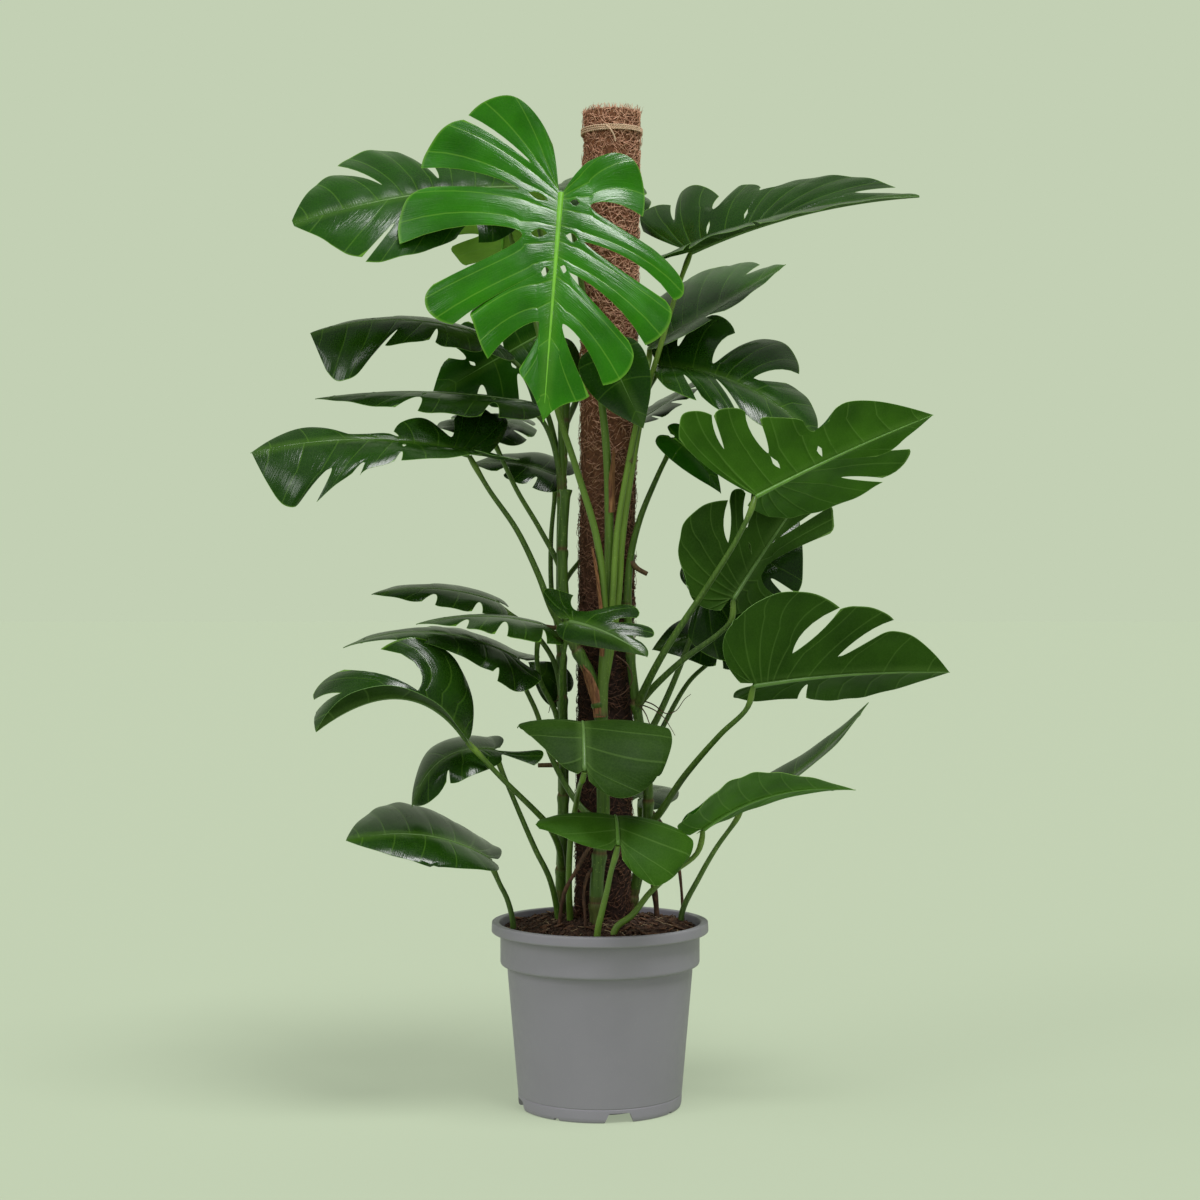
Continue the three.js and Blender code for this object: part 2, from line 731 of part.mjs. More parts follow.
    face: [-0.3, -0.4, 0.85], arch: 30, foldRight: [-10, -10], foldLeft: [10, 0], curl: 20, back: 20,
    right: {
      width: 48, basal: 50,
      lobes: [
        [[-22, 4], [-56, 22], [-42, 40]],
        [[-4, 26], [40, 44], [80, 36]],
        [[84, 32], [112, 24], [122, 0]],
      ],
      roots: [0.05, 0.4],
      inner: [0.3, 0.6],
    },
    left: { width: 66, basal: 20 } },
  { name: "leaf_22_left_level", base: [-129, -8, 626], tip: [-280, -44, 635],
    face: [0, -0.28, 0.96], arch: 12, foldRight: [4, -20], foldLeft: [4, 0], curl: 16, back: -10,
    right: { width: 48, basal: 12, cuts: twoCuts }, left: { width: 62, basal: 24, cuts: twoCuts } },
  { name: "leaf_23_left_level_front", base: [-71, -61, 598], tip: [-221, -96, 599],
    face: [0, -0.2, 0.98], arch: 10, foldRight: [4, 0], foldLeft: [4, 0], curl: 16, back: -10,
    right: { width: 66, basal: 24, cuts: fewCuts }, left: { width: 34, basal: 10, cuts: twoCuts } },
  { name: "leaf_24_front_middle", base: [-38, -110, 603], tip: [56, -150, 561],
    face: [0.3, -0.8, 0.5], arch: 10, foldRight: [10, 6], foldLeft: [-30, -40], curl: 16, back: 10,
    right: {
      width: 54, basal: 62,
      lobes: [
        [[-14, 2], [-60, 36], [-22, 48]],
        [[40, 50], [60, 58], [72, 46]],
        [[86, 42], [99, 36], [98, 24]],
        [[86, 14], [104, 9], [110, 0]],
      ],
      roots: [0.06, 0.36, 0.6],
      inner: [0.3, 0.36, 0.42],
    },
    left: { width: 24, basal: 12 } },
  { name: "leaf_25_left_large", base: [-158, -70, 804], tip: [-411, -150, 801],
    face: [0.1, -0.6, 0.8], arch: 20, foldRight: [44, -25], foldLeft: [20, 0], curl: 6, back: 10,
    right: {
      width: 90, basal: 45,
      lobes: [
        [[-30, 16], [-42, 50], [0, 66]],
        [[8, 66], [50, 72], [100, 58]],
        [[108, 58], [134, 62], [150, 70]],
        [[160, 66], [184, 78], [205, 90]],
        [[219, 76], [243, 74], [264, 0]],
      ],
      roots: [0.12, 0.32, 0.42, 0.54],
      inner: [0.6, 0.7, 0.76, 0.6],
    },
    left: {
      width: 81, basal: 52,
      lobes: [
        [[-26, 8], [-56, 58], [-44, 86]],
        [[-40, 87], [-12, 84], [14, 60]],
        [[30, 36], [62, 48], [96, 20]],
        [[102, 17], [128, 11], [154, 12]],
        [[154, 12], [205, 31], [264, 0]],
      ],
      roots: [0.02, 0.1, 0.32, 0.5],
      inner: [0.9, 0.4, 0.4, 1],
    } },
  { name: "leaf_26_left_grey", base: [-93, -20, 873], tip: [-347, -60, 873],
    face: [0, -0.2, 0.98], arch: 10, foldRight: [4, -14], foldLeft: [4, 0], curl: 20, back: 0,
    right: { width: 70, basal: 22, cuts: twoCuts }, left: { width: 44, basal: 14, cuts: fewCuts } },
  { name: "leaf_27_left_dark", base: [-140, -10, 837], tip: [-92, 126, 862],
    face: [0, -0.7, 0.7], arch: 10, foldRight: [8, 0], foldLeft: [8, 0], curl: 20, back: 0,
    right: { width: 70, basal: 26, cuts: twoCuts }, left: { width: 48, basal: 20, cuts: twoCuts } },
  { name: "leaf_28_left_dark_low", base: [-56, 48, 786], tip: [-166, 76, 802],
    face: [0.1, -0.5, 0.86], arch: 10, foldRight: [8, 0], foldLeft: [8, 0], curl: 20, back: 0,
    right: { width: 44, basal: 16, cuts: twoCuts }, left: { width: 60, basal: 18 } },
  { name: "leaf_29_left_upper_long", base: [-142, 20, 958], tip: [-353, -60, 953],
    face: [-0.1, -0.5, 0.86], arch: 20, foldRight: [0, -18], foldLeft: [0, -6], curl: 12, back: 0,
    right: {
      width: 86, basal: 30,
      lobes: [
        [[-20, 12], [-30, 38], [10, 50]],
        [[16, 50], [52, 54], [80, 46]],
        [[88, 44], [122, 46], [146, 44]],
        [[152, 44], [214, 84], [226, 0]],
      ],
      roots: [0.12, 0.3, 0.46],
      inner: [0.5, 0.36, 0.5],
    },
    left: { width: 44, basal: 12, cuts: twoCuts } },
  { name: "leaf_30_behind_left", base: [-75, 66, 967], tip: [-214, 48, 885],
    face: [0.2, -0.9, 0.3], arch: 4, foldRight: [6, 4], foldLeft: [6, 4], curl: 10, back: 0,
    right: { width: 80, basal: 30, cuts: fewCuts }, left: { width: 80, basal: 50, cuts: fewCuts } },
  { name: "leaf_31_by_pole", base: [12, -92, 920], tip: [52, -98, 834],
    face: [0, -0.98, 0.1], arch: 4, foldRight: [8, 4], foldLeft: [8, 4], curl: 10, back: 0,
    right: { width: 40, basal: 16 }, left: { width: 42, basal: 18 } },
  { name: "leaf_32_behind_right", base: [51, 60, 857], tip: [148, 110, 924],
    face: [-0.2, -0.1, 0.97], arch: 0, foldRight: [8, 4], foldLeft: [8, 4], curl: 16, back: 0,
    right: { width: 75, basal: 24, cuts: fewCuts }, left: { width: 46, basal: 14, cuts: fewCuts } },
  { name: "leaf_33_behind_low", base: [51, 70, 375], tip: [97, 140, 380],
    face: [0, -0.3, 0.95], arch: 6, foldRight: [8, 4], foldLeft: [8, 4], curl: 16, back: 0,
    right: { width: 40, basal: 24 }, left: { width: 40, basal: 24 } },
  { name: "leaf_34_behind_stems", base: [-50, 30, 515], tip: [-90, 20, 550],
    face: [-0.3, -0.7, 0.6], arch: 6, foldRight: [8, 4], foldLeft: [8, 4], curl: 16, back: 0,
    right: { width: 26, basal: 14 }, left: { width: 26, basal: 14 } },
];

// Stems and petioles
// Three stems climb beside the pole. Each is one body with the petioles that grow from it, whose
// routes start inside the stem and end just under their leaf. A route with no leaf is the stub of
// a leaf cut off. Six leaves have petioles that rise straight from the soil.

const stems = {
  front: { radius: [9, 6], foot: [-4, -35],
    route: [[-4, -38, 278], [0, -42, 321], [4, -45, 368], [2, -45, 432], [0, -45, 496],
      [-12, -43, 536], [-34, -40, 579], [-44, -35, 628], [-46, -30, 702], [-42, -27, 764]] },
  right: { radius: [8, 5], foot: [38, 45],
    route: [[57, 30, 326], [60, 10, 390], [52, -10, 454], [44, -22, 504], [37, -28, 566],
      [33, -33, 628]] },
  left: { radius: [7.5, 5], foot: [-50, 35],
    route: [[-46, 10, 378], [-47, 8, 503], [-49, 8, 628], [-48, 12, 753], [-44, 22, 854],
      [-38, 32, 931]] },
};

const petioles = [
  { leaf: "01", stem: "front", radius: 7,
    route: [[1, -46, 487], [6, -50, 567], [10, -50, 628], [11, -58, 725], [7, -66, 822], [-7, -80, 930],
      [-22, -95, 1006], [-33, -112, 1072]] },
  { leaf: "02", stem: "left", radius: 4.5,
    route: [[-48, 12, 766], [-50, 8, 903], [-60, 5, 1015], [-81, -15, 1105]] },
  { leaf: "03", stem: "front", radius: 5,
    route: [[0, -46, 499], [6, -56, 567], [5, -62, 626], [-4, -72, 703], [-28, -75, 785], [-52, -65, 860],
      [-73, -45, 946], [-95, -8, 1032], [-112, 40, 1084]] },
  { leaf: "04", stem: "left", radius: 4,
    route: [[-44, 21, 848], [-30, 54, 882], [-10, 78, 948], [0, 88, 1012], [4, 92, 1112]] },
  { leaf: "05", stem: "front", radius: 5,
    route: [[0, -45, 499], [13, -46, 567], [22, -46, 628], [27, -50, 701], [39, -52, 787], [55, -45, 873],
      [76, -60, 945], [99, -38, 1021]] },
  { leaf: "06", stem: "front", radius: 4.5,
    route: [[0, -46, 506], [10, -54, 567], [15, -60, 628], [21, -68, 713], [35, -72, 798], [50, -66, 871],
      [60, -40, 920]] },
  { leaf: "07", stem: "front", radius: 3.6, route: [[35, -71, 795], [56, -52, 878], [68, -30, 904]] },
  { leaf: "08", stem: "right", radius: 5,
    route: [[46, -20, 496], [56, -46, 522], [80, -76, 569], [133, -104, 651], [163, -114, 700],
      [179, -118, 733]] },
  { leaf: "09", stem: "right", radius: 5,
    route: [[33, -32, 616], [37, -31, 677], [49, -26, 727], [72, -8, 783], [87, 5, 815]] },
  { leaf: "10", stem: "right", radius: 4.5,
    route: [[46, -21, 498], [68, -34, 523], [103, -48, 556], [146, -60, 588], [160, -64, 604]] },
  { leaf: "11", stem: "right", radius: 4.5,
    route: [[53, -9, 448], [69, 2, 476], [85, 10, 509], [106, 20, 559], [130, 26, 624]] },
  { leaf: "12", stem: "right", radius: 3.6,
    route: [[56, 1, 422], [78, 36, 465], [114, 68, 524], [148, 84, 556]] },
  { leaf: "13", stem: "right", radius: 5,
    route: [[58, 26, 341], [75, -5, 364], [102, -35, 409], [145, -80, 465], [176, -108, 499]] },
  { leaf: "19", stem: "front", radius: 4,
    route: [[2, -44, 356], [-18, -38, 368], [-39, -26, 394], [-64, -20, 443], [-78, -20, 488],
      [-94, -32, 525]] },
  { leaf: "20", stem: "left", radius: 4.5,
    route: [[-48, 25, 286], [-51, 2, 319], [-64, -26, 350], [-75, -44, 365], [-119, -80, 413],
      [-146, -92, 443]] },
  { leaf: "22", stem: "left", radius: 3.6,
    route: [[-47, 8, 503], [-58, -4, 553], [-87, -12, 593], [-117, -14, 614]] },
  { leaf: "23", stem: "left", radius: 3.8,
    route: [[-47, 9, 440], [-55, -5, 487], [-74, -32, 530], [-77, -52, 567]] },
  { leaf: "24", stem: "left", radius: 3.8,
    route: [[-46, 10, 380], [-47, -22, 436], [-47, -46, 479], [-46, -82, 549], [-40, -98, 583]] },
  { leaf: "25", stem: "front", radius: 4.6,
    route: [[-26, -42, 562], [-44, -44, 590], [-59, -44, 616], [-76, -44, 660],
      [-102, -48, 714], [-135, -62, 762],
      [-152, -68, 791]] },
  { leaf: "26", stem: "left", radius: 3.6,
    route: [[-48, 13, 776], [-60, -4, 827], [-74, -14, 854], [-87, -18, 864]] },
  { leaf: "27", stem: "front", radius: 3.6,
    route: [[-43, -37, 613], [-49, -26, 665], [-74, -18, 715], [-103, -14, 764], [-132, -10, 824]] },
  { leaf: "28", stem: "left", radius: 3.4,
    route: [[-49, 8, 578], [-60, 28, 628], [-62, 42, 704], [-57, 47, 764]] },
  { leaf: "29", stem: "left", radius: 4,
    route: [[-48, 12, 753], [-57, 24, 829], [-76, 30, 886], [-107, 26, 927], [-133, 21, 942]] },
  { leaf: "30", stem: "left", radius: 3.8,
    route: [[-46, 16, 801], [-50, 48, 855], [-58, 70, 912], [-70, 78, 950]] },
  { leaf: "31", stem: "front", radius: 3, route: [[1, -71, 868], [7, -84, 887], [11, -91, 902]] },
  { leaf: "32", stem: "left", radius: 3.4,
    route: [[-49, 8, 616], [-43, 50, 653], [-19, 74, 686], [13, 82, 731], [32, 76, 795], [47, 64, 842]] },
  { leaf: "33", stem: "right", radius: 3.2, route: [[57, 31, 322], [52, 54, 342], [51, 68, 365]] },
  { leaf: "34", stem: "left", radius: 2.8, route: [[-47, 9, 447], [-46, 32, 475], [-46, 44, 500]] },
  { stem: "right", radius: 3.4, route: [[37, -31, 675], [47, -34, 666], [58, -36, 660]] },
  { stem: "left", radius: 3.2, route: [[-46, 9, 422], [-62, 4, 422], [-77, 0, 422]] },
  { stem: "left", radius: 2.8, route: [[-49, 8, 593], [-61, 5, 594], [-71, 3, 596]] },
];

const soilPetioles = [
  { leaf: "14", radius: 4, foot: [103, 36], route: [[126, 50, 276], [148, 60, 312], [175, 61, 350]] },
  { leaf: "15", radius: 4.4, foot: [18, -88],
    route: [[39, -84, 248], [60, -80, 274], [85, -75, 296], [117, -66, 319], [124, -61, 336]] },
  { leaf: "16", radius: 4.4, foot: [-37, -12],
    route: [[-38, -26, 260], [-38, -40, 300], [-35, -60, 345], [-29, -88, 381], [-24, -140, 408],
      [-20, -180, 420]] },
  { leaf: "17", radius: 4.4, foot: [-3, -110],
    route: [[2, -119, 256], [8, -133, 283], [13, -149, 309], [18, -163, 328]] },
  { leaf: "18", radius: 4, foot: [-107, -36],
    route: [[-114, -39, 261], [-123, -43, 280], [-130, -47, 297], [-133, -50, 303]] },
  { leaf: "21", radius: 4.2, foot: [-52, -6],
    route: [[-62, -22, 283], [-80, -32, 322], [-109, -40, 391], [-124, -42, 428]] },
];

// Brown aerial roots grow from the stems down into the soil

const roots = [
  { name: "root_right_thick", stem: "right", radius: [4.2, 3.4], foot: [71, 46],
    route: [[58, 26, 341], [64, 40, 293]] },
  { name: "root_right_thin", stem: "right", radius: [2.2, 1.8], foot: [105, 52],
    route: [[58, 18, 371], [76, 30, 348], [94, 42, 312]] },
  { name: "root_front_left", stem: "front", radius: [2.6, 2.2], foot: [-50, -42],
    route: [[-2, -44, 336], [-16, -54, 322], [-29, -58, 299], [-44, -52, 270]] },
  { name: "root_front_middle", stem: "front", radius: [2, 1.8], foot: [-18, -48],
    route: [[-2, -41, 307], [-15, -44, 292], [-20, -46, 273]] },
];

const routeTo = (leaf) => petioles.find((petiole) => petiole.leaf === leaf).route;

// Dried brown sheaths still clasp the stem and two petioles. A sheath has the route it clasps,
// the route's radius, the stretch that it covers and the way it faces, in degrees from +X.

const sheaths = [
  { name: "sheath_low", stem: "front", route: stems.front.route, radius: 8.4,
    stretch: [0.42, 0.56], facing: -110, spread: 52 },
  { name: "sheath_middle", stem: "front", route: routeTo("03"), radius: 5.1,
    stretch: [0.1, 0.32], facing: -160, spread: 60 },
  { name: "sheath_upper", stem: "front", route: routeTo("01"), radius: 6,
    stretch: [0.42, 0.55], facing: -30, spread: 60 },
];

// Where a petiole meets its leaf: under the blade at the end of the midrib, raised until no more
// than the gap is left between them

const seats = new Map();

function petioleSeat(leaf, route, radius) {
  if (!seats.has(leaf.name)) {
    const blade = solidOf(bladeGeometry(leaf));
    const { point, normal } = bladeFrame(leaf).at(0);
    let below = bladeThickness / 2 + gap + petioleTipRadius;
    const end = () => point.clone().addScaledVector(normal, -below).toArray();
    for (let pass = 0; pass < seatPasses; pass++) {
      const tube = taperedTube([...route, end()], radius, petioleTipRadius, { sides: petioleSides });
      below -= solidOf(tube).minGap(blade, 2 * petioleTipRadius) - gap;
    }
    seats.set(leaf.name, end());
  }
  return seats.get(leaf.name);
}

function petioleTube({ leaf, radius, route }, extra = 0) {
  const grown = leaves.find((each) => each.name.startsWith(`leaf_${leaf}`));
  const points = grown ? [...route, petioleSeat(grown, route, radius)] : route;
  const endRadius = grown ? petioleTipRadius : 0.85 * radius;
  return taperedTube(points, radius + extra, endRadius + extra, { sides: petioleSides });
}

const rooted = (foot, route) => [[...foot, rootDepth], [...foot, soilEdge + 12], ...route];

function stemTube({ radius, foot, route }, extra = 0) {
  return taperedTube(rooted(foot, route), radius[0] + extra, radius[1] + extra, { sides: stemSides });
}

function stemSolid(side, extra = 0) {
  const own = petioles.filter((petiole) => petiole.stem === side);
  return joined([stemTube(stems[side], extra), ...own.map((petiole) => petioleTube(petiole, extra))]);
}

function soilPetioleTube({ leaf, radius, foot, route }, extra = 0) {
  return petioleTube({ leaf, radius, route: rooted(foot, route) }, extra);
}

function rootTube({ radius, foot, route }, extra = 0) {
  const down = [...route, [...foot, soilEdge + 12], [...foot, rootDepth]];
  return taperedTube(down, radius[0] + extra, radius[1] + extra, { sides: petioleSides });
}

// What is left of a solid after a cut, without loose scraps

function cutFrom(solid, tool) {
  const pieces = solid.subtract(tool).decompose();
  return pieces.reduce((best, piece) => (piece.volume() > best.volume() ? piece : best));
}

// A strip of dried sheath: a thin shell that follows a route and covers part of its girth

function sheathStrip({ route, radius, stretch, facing, spread }) {
  const curve = new THREE.CatmullRomCurve3(route.map(vec), false, "centripetal");
  const steps = 6;
  const arc = 3;
  const rings = [];
  for (let i = 0; i <= steps; i++) {
    const s = i / steps;
    const center = curve.getPointAt(mix(stretch[0], stretch[1], s));
    const along = curve.getTangentAt(mix(stretch[0], stretch[1], s));
    const east = new THREE.Vector3(1, 0, 0).addScaledVector(along, -along.x).normalize();
    const north = new THREE.Vector3().crossVectors(along, east);
    const half = spread * (1 - 0.75 * s * s);
    const lift = 1.6 * s * s;
    const at = (angle, r) => center.clone()
      .addScaledVector(east, r * Math.cos(radians(angle)))
      .addScaledVector(north, r * Math.sin(radians(angle)));
    const angles = Array.from({ length: arc + 1 }, (_, k) => facing + mix(-half, half, k / arc));
    const inner = radius + gap + lift;
    rings.push([
      ...angles.map((angle) => at(angle, inner + sheathThickness)),
      ...angles.toReversed().map((angle) => at(angle, inner)),
    ]);
  }
  return lofted(rings);
}

// The climbing pole: a wooden stake in a sleeve of pressed coir, tied round with twine

const poleAxis = (z) => {
  const t = (z - soilEdge) / (poleTop - soilEdge);
  return [mix(poleFoot[0], poleHead[0], t), mix(poleFoot[1], poleHead[1], t), z];
};

function poleRod(radius, bottom, top) {
  const ends = [poleAxis(bottom), poleAxis(top)];
  return taperedTube(ends, radius, radius, { sides: poleSides, stepsPerSpan: 1 });
}

function coirSleeve() {
  const rings = [];
  const count = 12;
  for (let i = 0; i <= count; i++) {
    const center = vec(poleAxis(mix(poleSleeveBottom, poleTop, i / count)));
    rings.push(Array.from({ length: poleSides }, (_, k) => {
      const angle = (2 * Math.PI * k) / poleSides;
      const lump = coirLump * Math.sin(3 * angle + 1.7 * i) * Math.cos(2 * i + k);
      return center.clone().add(new THREE.Vector3(
        (poleRadius + lump) * Math.cos(angle), (poleRadius + lump) * Math.sin(angle), 0));
    }));
  }
  const bore = solidOf(poleRod(stakeRadius + gap, poleSleeveBottom - 5, poleTop + 5));
  return solidOf(lofted(rings)).subtract(bore);
}

function twine() {
  const reach = poleRadius + coirLump + gap;
  const bump = (angle, z) => [
    reach + twineRadius * (1 + Math.cos(angle)),
    z + twineRadius * Math.sin(angle),
  ];
  const angles = [-60, 0, 60].map(radians);
  const profile = [
    ...angles.map((angle) => bump(angle, -twineRadius)),
    ...angles.map((angle) => bump(angle, twineRadius)),
  ].map(([r, z]) => [Math.max(r, reach + 0.6), z]);
  profile.unshift([reach, -2 * twineRadius]);
  profile.push([reach, 2 * twineRadius]);
  profile.push(profile[0]);
  const [x, y, z] = poleAxis(twineHeight);
  return lathe(profile, 20).translate(x, y, z);
}

// A lathe turns a profile of [radius, height] round the Z axis, its outside listed upwards

function lathe(profile, sectors) {
  const points = profile.map(([r, z]) => new THREE.Vector2(r, z));
  return new THREE.LatheGeometry(points, sectors).rotateX(Math.PI / 2);
}

// The pot: a tapered body under a wider collar and a flat rim. Its floor touches the ground in the
// middle and in a foot ring, with a draining channel between them that opens in notches.

const potOutside = [
  [channelOuterRadius, 0], [footTopRadius - 2.5, 0], [footTopRadius - 0.9, 1.5], [footTopRadius, 5],
  [footTopRadius + 0.4, footHeight],
  [bodyTopRadius, collarBottom - 10], [bodyTopRadius, collarBottom - 2],
  [collarRadius - 3, collarBottom], [collarRadius - 0.8, collarBottom + 0.8],
  [collarRadius, collarBottom + 3],
  [collarRadius, potHeight - rimDepth - 1], [potRimRadius - 2, potHeight - rimDepth],
  [potRimRadius, potHeight - rimDepth + 1.6], [potRimRadius - 0.6, potHeight],
];

const potInside = [
  [potMouthRadius + 1, potHeight], [potMouthRadius, potHeight - 1.2],
  [collarRadius - potWall, potHeight - rimDepth], [collarRadius - potWall, collarBottom + potWall],
  [bodyTopRadius - potWall, collarBottom - 3],
  [footTopRadius - potWall - 0.5, channelHeight + potWall + 2],
  [footTopRadius - potWall - 2, channelHeight + potWall],
  [channelInnerRadius - potWall, channelHeight + potWall],
  [channelInnerRadius - 2 * potWall, floorThickness],
];

function flaredNotch(width, height, angle) {
  const half = width / 2;
  const shape = new THREE.Shape([
    [-1.12 * half, -2], [1.12 * half, -2], [0.82 * half, 0.82 * height], [0.7 * half, height],
    [-0.7 * half, height], [-0.82 * half, 0.82 * height],
  ].map(([x, y]) => new THREE.Vector2(x, y)));
  const depth = footTopRadius + 3 - channelOuterRadius;
  const notch = new THREE.ExtrudeGeometry(shape, { depth: depth + 4, bevelEnabled: false });
  notch.rotateX(Math.PI / 2);
  notch.translate(0, channelOuterRadius + depth, 0);
  return notch.rotateZ(radians(angle - 90));
}

function pot() {
  const profile = [
    [0, 0], [channelInnerRadius - 2, 0], [channelInnerRadius, channelHeight],
    [channelOuterRadius, channelHeight], ...potOutside, ...potInside, [0, floorThickness],
  ];
  let body = solidOf(lathe(profile, potSectors));
  for (const angle of notchAngles) {
    body = body.subtract(solidOf(flaredNotch(notchWidth, notchHeight, angle)));
    body = body.subtract(solidOf(flaredNotch(smallNotchWidth, smallNotchHeight, angle + 45)));
  }
  return body;
}

// The soil fills the pot, lumpy and a little mounded, with holes for all that stands in it

function soil() {
  const top = (r, angle) => {
    const rise = soilMound * Math.cos((Math.PI / 2) * (r / potMouthRadius));
    const x = r * Math.cos(angle);
    const y = r * Math.sin(angle);
    const lump = Math.sin(x / 11 + 2 * Math.sin(y / 17)) * Math.cos(y / 9 + 1.3 * Math.sin(x / 14));
    return soilEdge + rise + soilLump * lump * Math.min(1, (potMouthRadius - r) / 12);
  };
  const inset = ([r, z]) => [r - gap / Math.cos(Math.PI / potSectors), z + gap];
  const wall = potInside.slice(2).map(inset).reverse();
  const wallTop = wall.at(-1)[0];
  wall[wall.length - 1] = [wallTop, potHeight - rimDepth];
  const tops = [1, 0.86, 0.7, 0.52, 0.3].map((share) => share * wallTop);
  const rings = [
    ...wall.map(([r, z]) => ({ r, z: () => z })),
    ...tops.map((r) => ({ r, z: (angle) => top(r, angle) })),
  ].map(({ r, z }) => Array.from({ length: potSectors }, (_, k) => {
    const angle = (2 * Math.PI * k) / potSectors;
    return new THREE.Vector3(r * Math.cos(angle), r * Math.sin(angle), z(angle));
  }));
  return solidOf(turnedBody(rings, wall[0][1], top(0, 0)));
}

// A body from rings round the Z axis, closed at a middle point below and above

function turnedBody(rings, bottom, top) {
  const sectors = rings[0].length;
  const points = [...rings.flat(), new THREE.Vector3(0, 0, bottom), new THREE.Vector3(0, 0, top)];
  const low = points.length - 2;
  const high = points.length - 1;
  const faces = [];
  for (let k = 0; k < sectors; k++) {
    const next = (k + 1) % sectors;
    const last = (rings.length - 1) * sectors;
    faces.push([low, next, k], [high, last + k, last + next]);
    for (let i = 0; i < rings.length - 1; i++) {
      const a = i * sectors + k;
      const b = i * sectors + next;
      faces.push([a, b, b + sectors], [a, b + sectors, a + sectors]);
    }
  }
  return indexedGeometry(points, faces);
}

function soilWithHoles() {
  const holes = [
    poleRod(poleRadius + coirLump + gap, poleSleeveBottom - 3 * gap, poleTop),
    poleRod(stakeRadius + gap, stakeBottom - gap, poleTop),
    ...Object.values(stems).map((stem) => stemTube(stem, gap)),
    ...soilPetioles.map((petiole) => soilPetioleTube(petiole, gap)),
    ...roots.map((root) => rootTube(root, gap)),
  ];
  return cutFrom(soil(), joined(holes));
}

// The plant put together

const plant = new THREE.Group();

function addPart(name, geometry, material) {
  const mesh = new THREE.Mesh(geometry, material);
  mesh.name = name;
  plant.add(mesh);
}

addPart("pot", geometryOf(pot()), finish(potGrey, 0.5));
addPart("soil", geometryOf(soilWithHoles()), finish(soilBrown, 0.95));
addPart("pole_coir_sleeve", geometryOf(coirSleeve()), finish(coirBrown, 0.95));
addPart("pole_stake", poleRod(stakeRadius, stakeBottom, poleTop - 4), finish(stakeBrown, 0.8));
addPart("pole_twine", twine(), finish(twineBrown, 0.9));

for (const side of Object.keys(stems)) {
  addPart(`stem_${side}`, geometryOf(stemSolid(side)), finish(stemGreen, 0.5));
}
for (const petiole of soilPetioles) {
  addPart(`petiole_${petiole.leaf}`, soilPetioleTube(petiole), finish(stemGreen, 0.5));
}
for (const root of roots) {
  const solid = cutFrom(solidOf(rootTube(root)), stemSolid(root.stem, gap));
  addPart(root.name, geometryOf(solid), finish(rootBrown, 0.8));
}
for (const sheath of sheaths) {
  const solid = cutFrom(solidOf(sheathStrip(sheath)), stemSolid(sheath.stem, gap));
  addPart(sheath.name, geometryOf(solid), finish(sheathBrown, 0.8));
}
for (const leaf of leaves) {
  const color = leaf.young ? youngLeafGreen : leafGreen;
  addPart(leaf.name, bladeGeometry(leaf), finish(color, 0.35));
}

export default plant;
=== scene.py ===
# %% [markdown]
# # A potted swiss cheese plant on a coir climbing pole
# The real plant is a young Monstera deliciosa in a plastic nursery pot. Its construction is
# already there as plain solids: pot, soil, pole, stems, roots and leaves, all at their real size.
# They could be given finishes as they are, but their blades have only a few dozen triangles each.
# So each solid is kept as the measure of the piece, and a finer mesh is made in its place.

# %% Load the solids
import math

import bpy
import numpy as np
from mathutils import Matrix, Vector


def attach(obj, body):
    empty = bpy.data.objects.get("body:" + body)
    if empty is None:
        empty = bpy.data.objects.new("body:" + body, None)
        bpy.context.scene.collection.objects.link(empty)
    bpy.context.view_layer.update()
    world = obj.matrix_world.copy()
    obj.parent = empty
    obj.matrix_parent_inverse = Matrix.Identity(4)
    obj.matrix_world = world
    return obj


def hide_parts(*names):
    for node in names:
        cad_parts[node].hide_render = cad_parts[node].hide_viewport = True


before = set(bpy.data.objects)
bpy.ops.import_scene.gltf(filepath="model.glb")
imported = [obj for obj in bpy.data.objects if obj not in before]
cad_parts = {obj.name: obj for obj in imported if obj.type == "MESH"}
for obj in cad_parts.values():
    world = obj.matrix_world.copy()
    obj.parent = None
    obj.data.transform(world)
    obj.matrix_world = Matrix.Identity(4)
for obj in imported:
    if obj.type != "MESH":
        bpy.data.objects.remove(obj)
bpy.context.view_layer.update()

# %% [markdown]
# ## Millimetres and colours
# The plant was measured in millimetres and Blender works in metres, so one factor turns the one
# into the other. Colours are written as sRGB hex values, the way a colour picker shows them, and
# shaders want linear light. One function does that sum for every colour in the file.

# %% Units and colours
MM = 0.001


def linear(hex_colour):
    channels = [int(hex_colour[n:n + 2], 16) / 255 for n in (1, 3, 5)]
    curved = [c / 12.92 if c <= 0.04045 else ((c + 0.055) / 1.055) ** 2.4 for c in channels]
    return curved + [1.0]


print("mid grey is", round(linear("#808080")[0], 3), "in linear light")

# %% [markdown]
# ## One helper for shader nodes
# Every finish below is a small tree of nodes. A node needs its settings, such as the kind of
# noise, and its inputs, each of which is either a plain value or a link from another node. One
# function does both, so a material reads as a list of what it is made of. Every kind of node here
# has a name that starts with ShaderNode, so the function adds that word. A material starts empty
# and ends with the shader that all its colours and patterns lead to.

# %% Adding a node, and starting and finishing a material


def add_node(tree, kind, inputs=None, **settings):
    node = tree.nodes.new("ShaderNode" + kind)
    for name, value in settings.items():
        setattr(node, name, value)
    for socket, value in (inputs or {}).items():
        if isinstance(value, bpy.types.NodeSocket):
            tree.links.new(value, node.inputs[socket])
        else:
            node.inputs[socket].default_value = value
    return node


def new_material(name):
    material = bpy.data.materials.new(name)
    material.use_nodes = True
    material.node_tree.nodes.clear()
    return material, material.node_tree


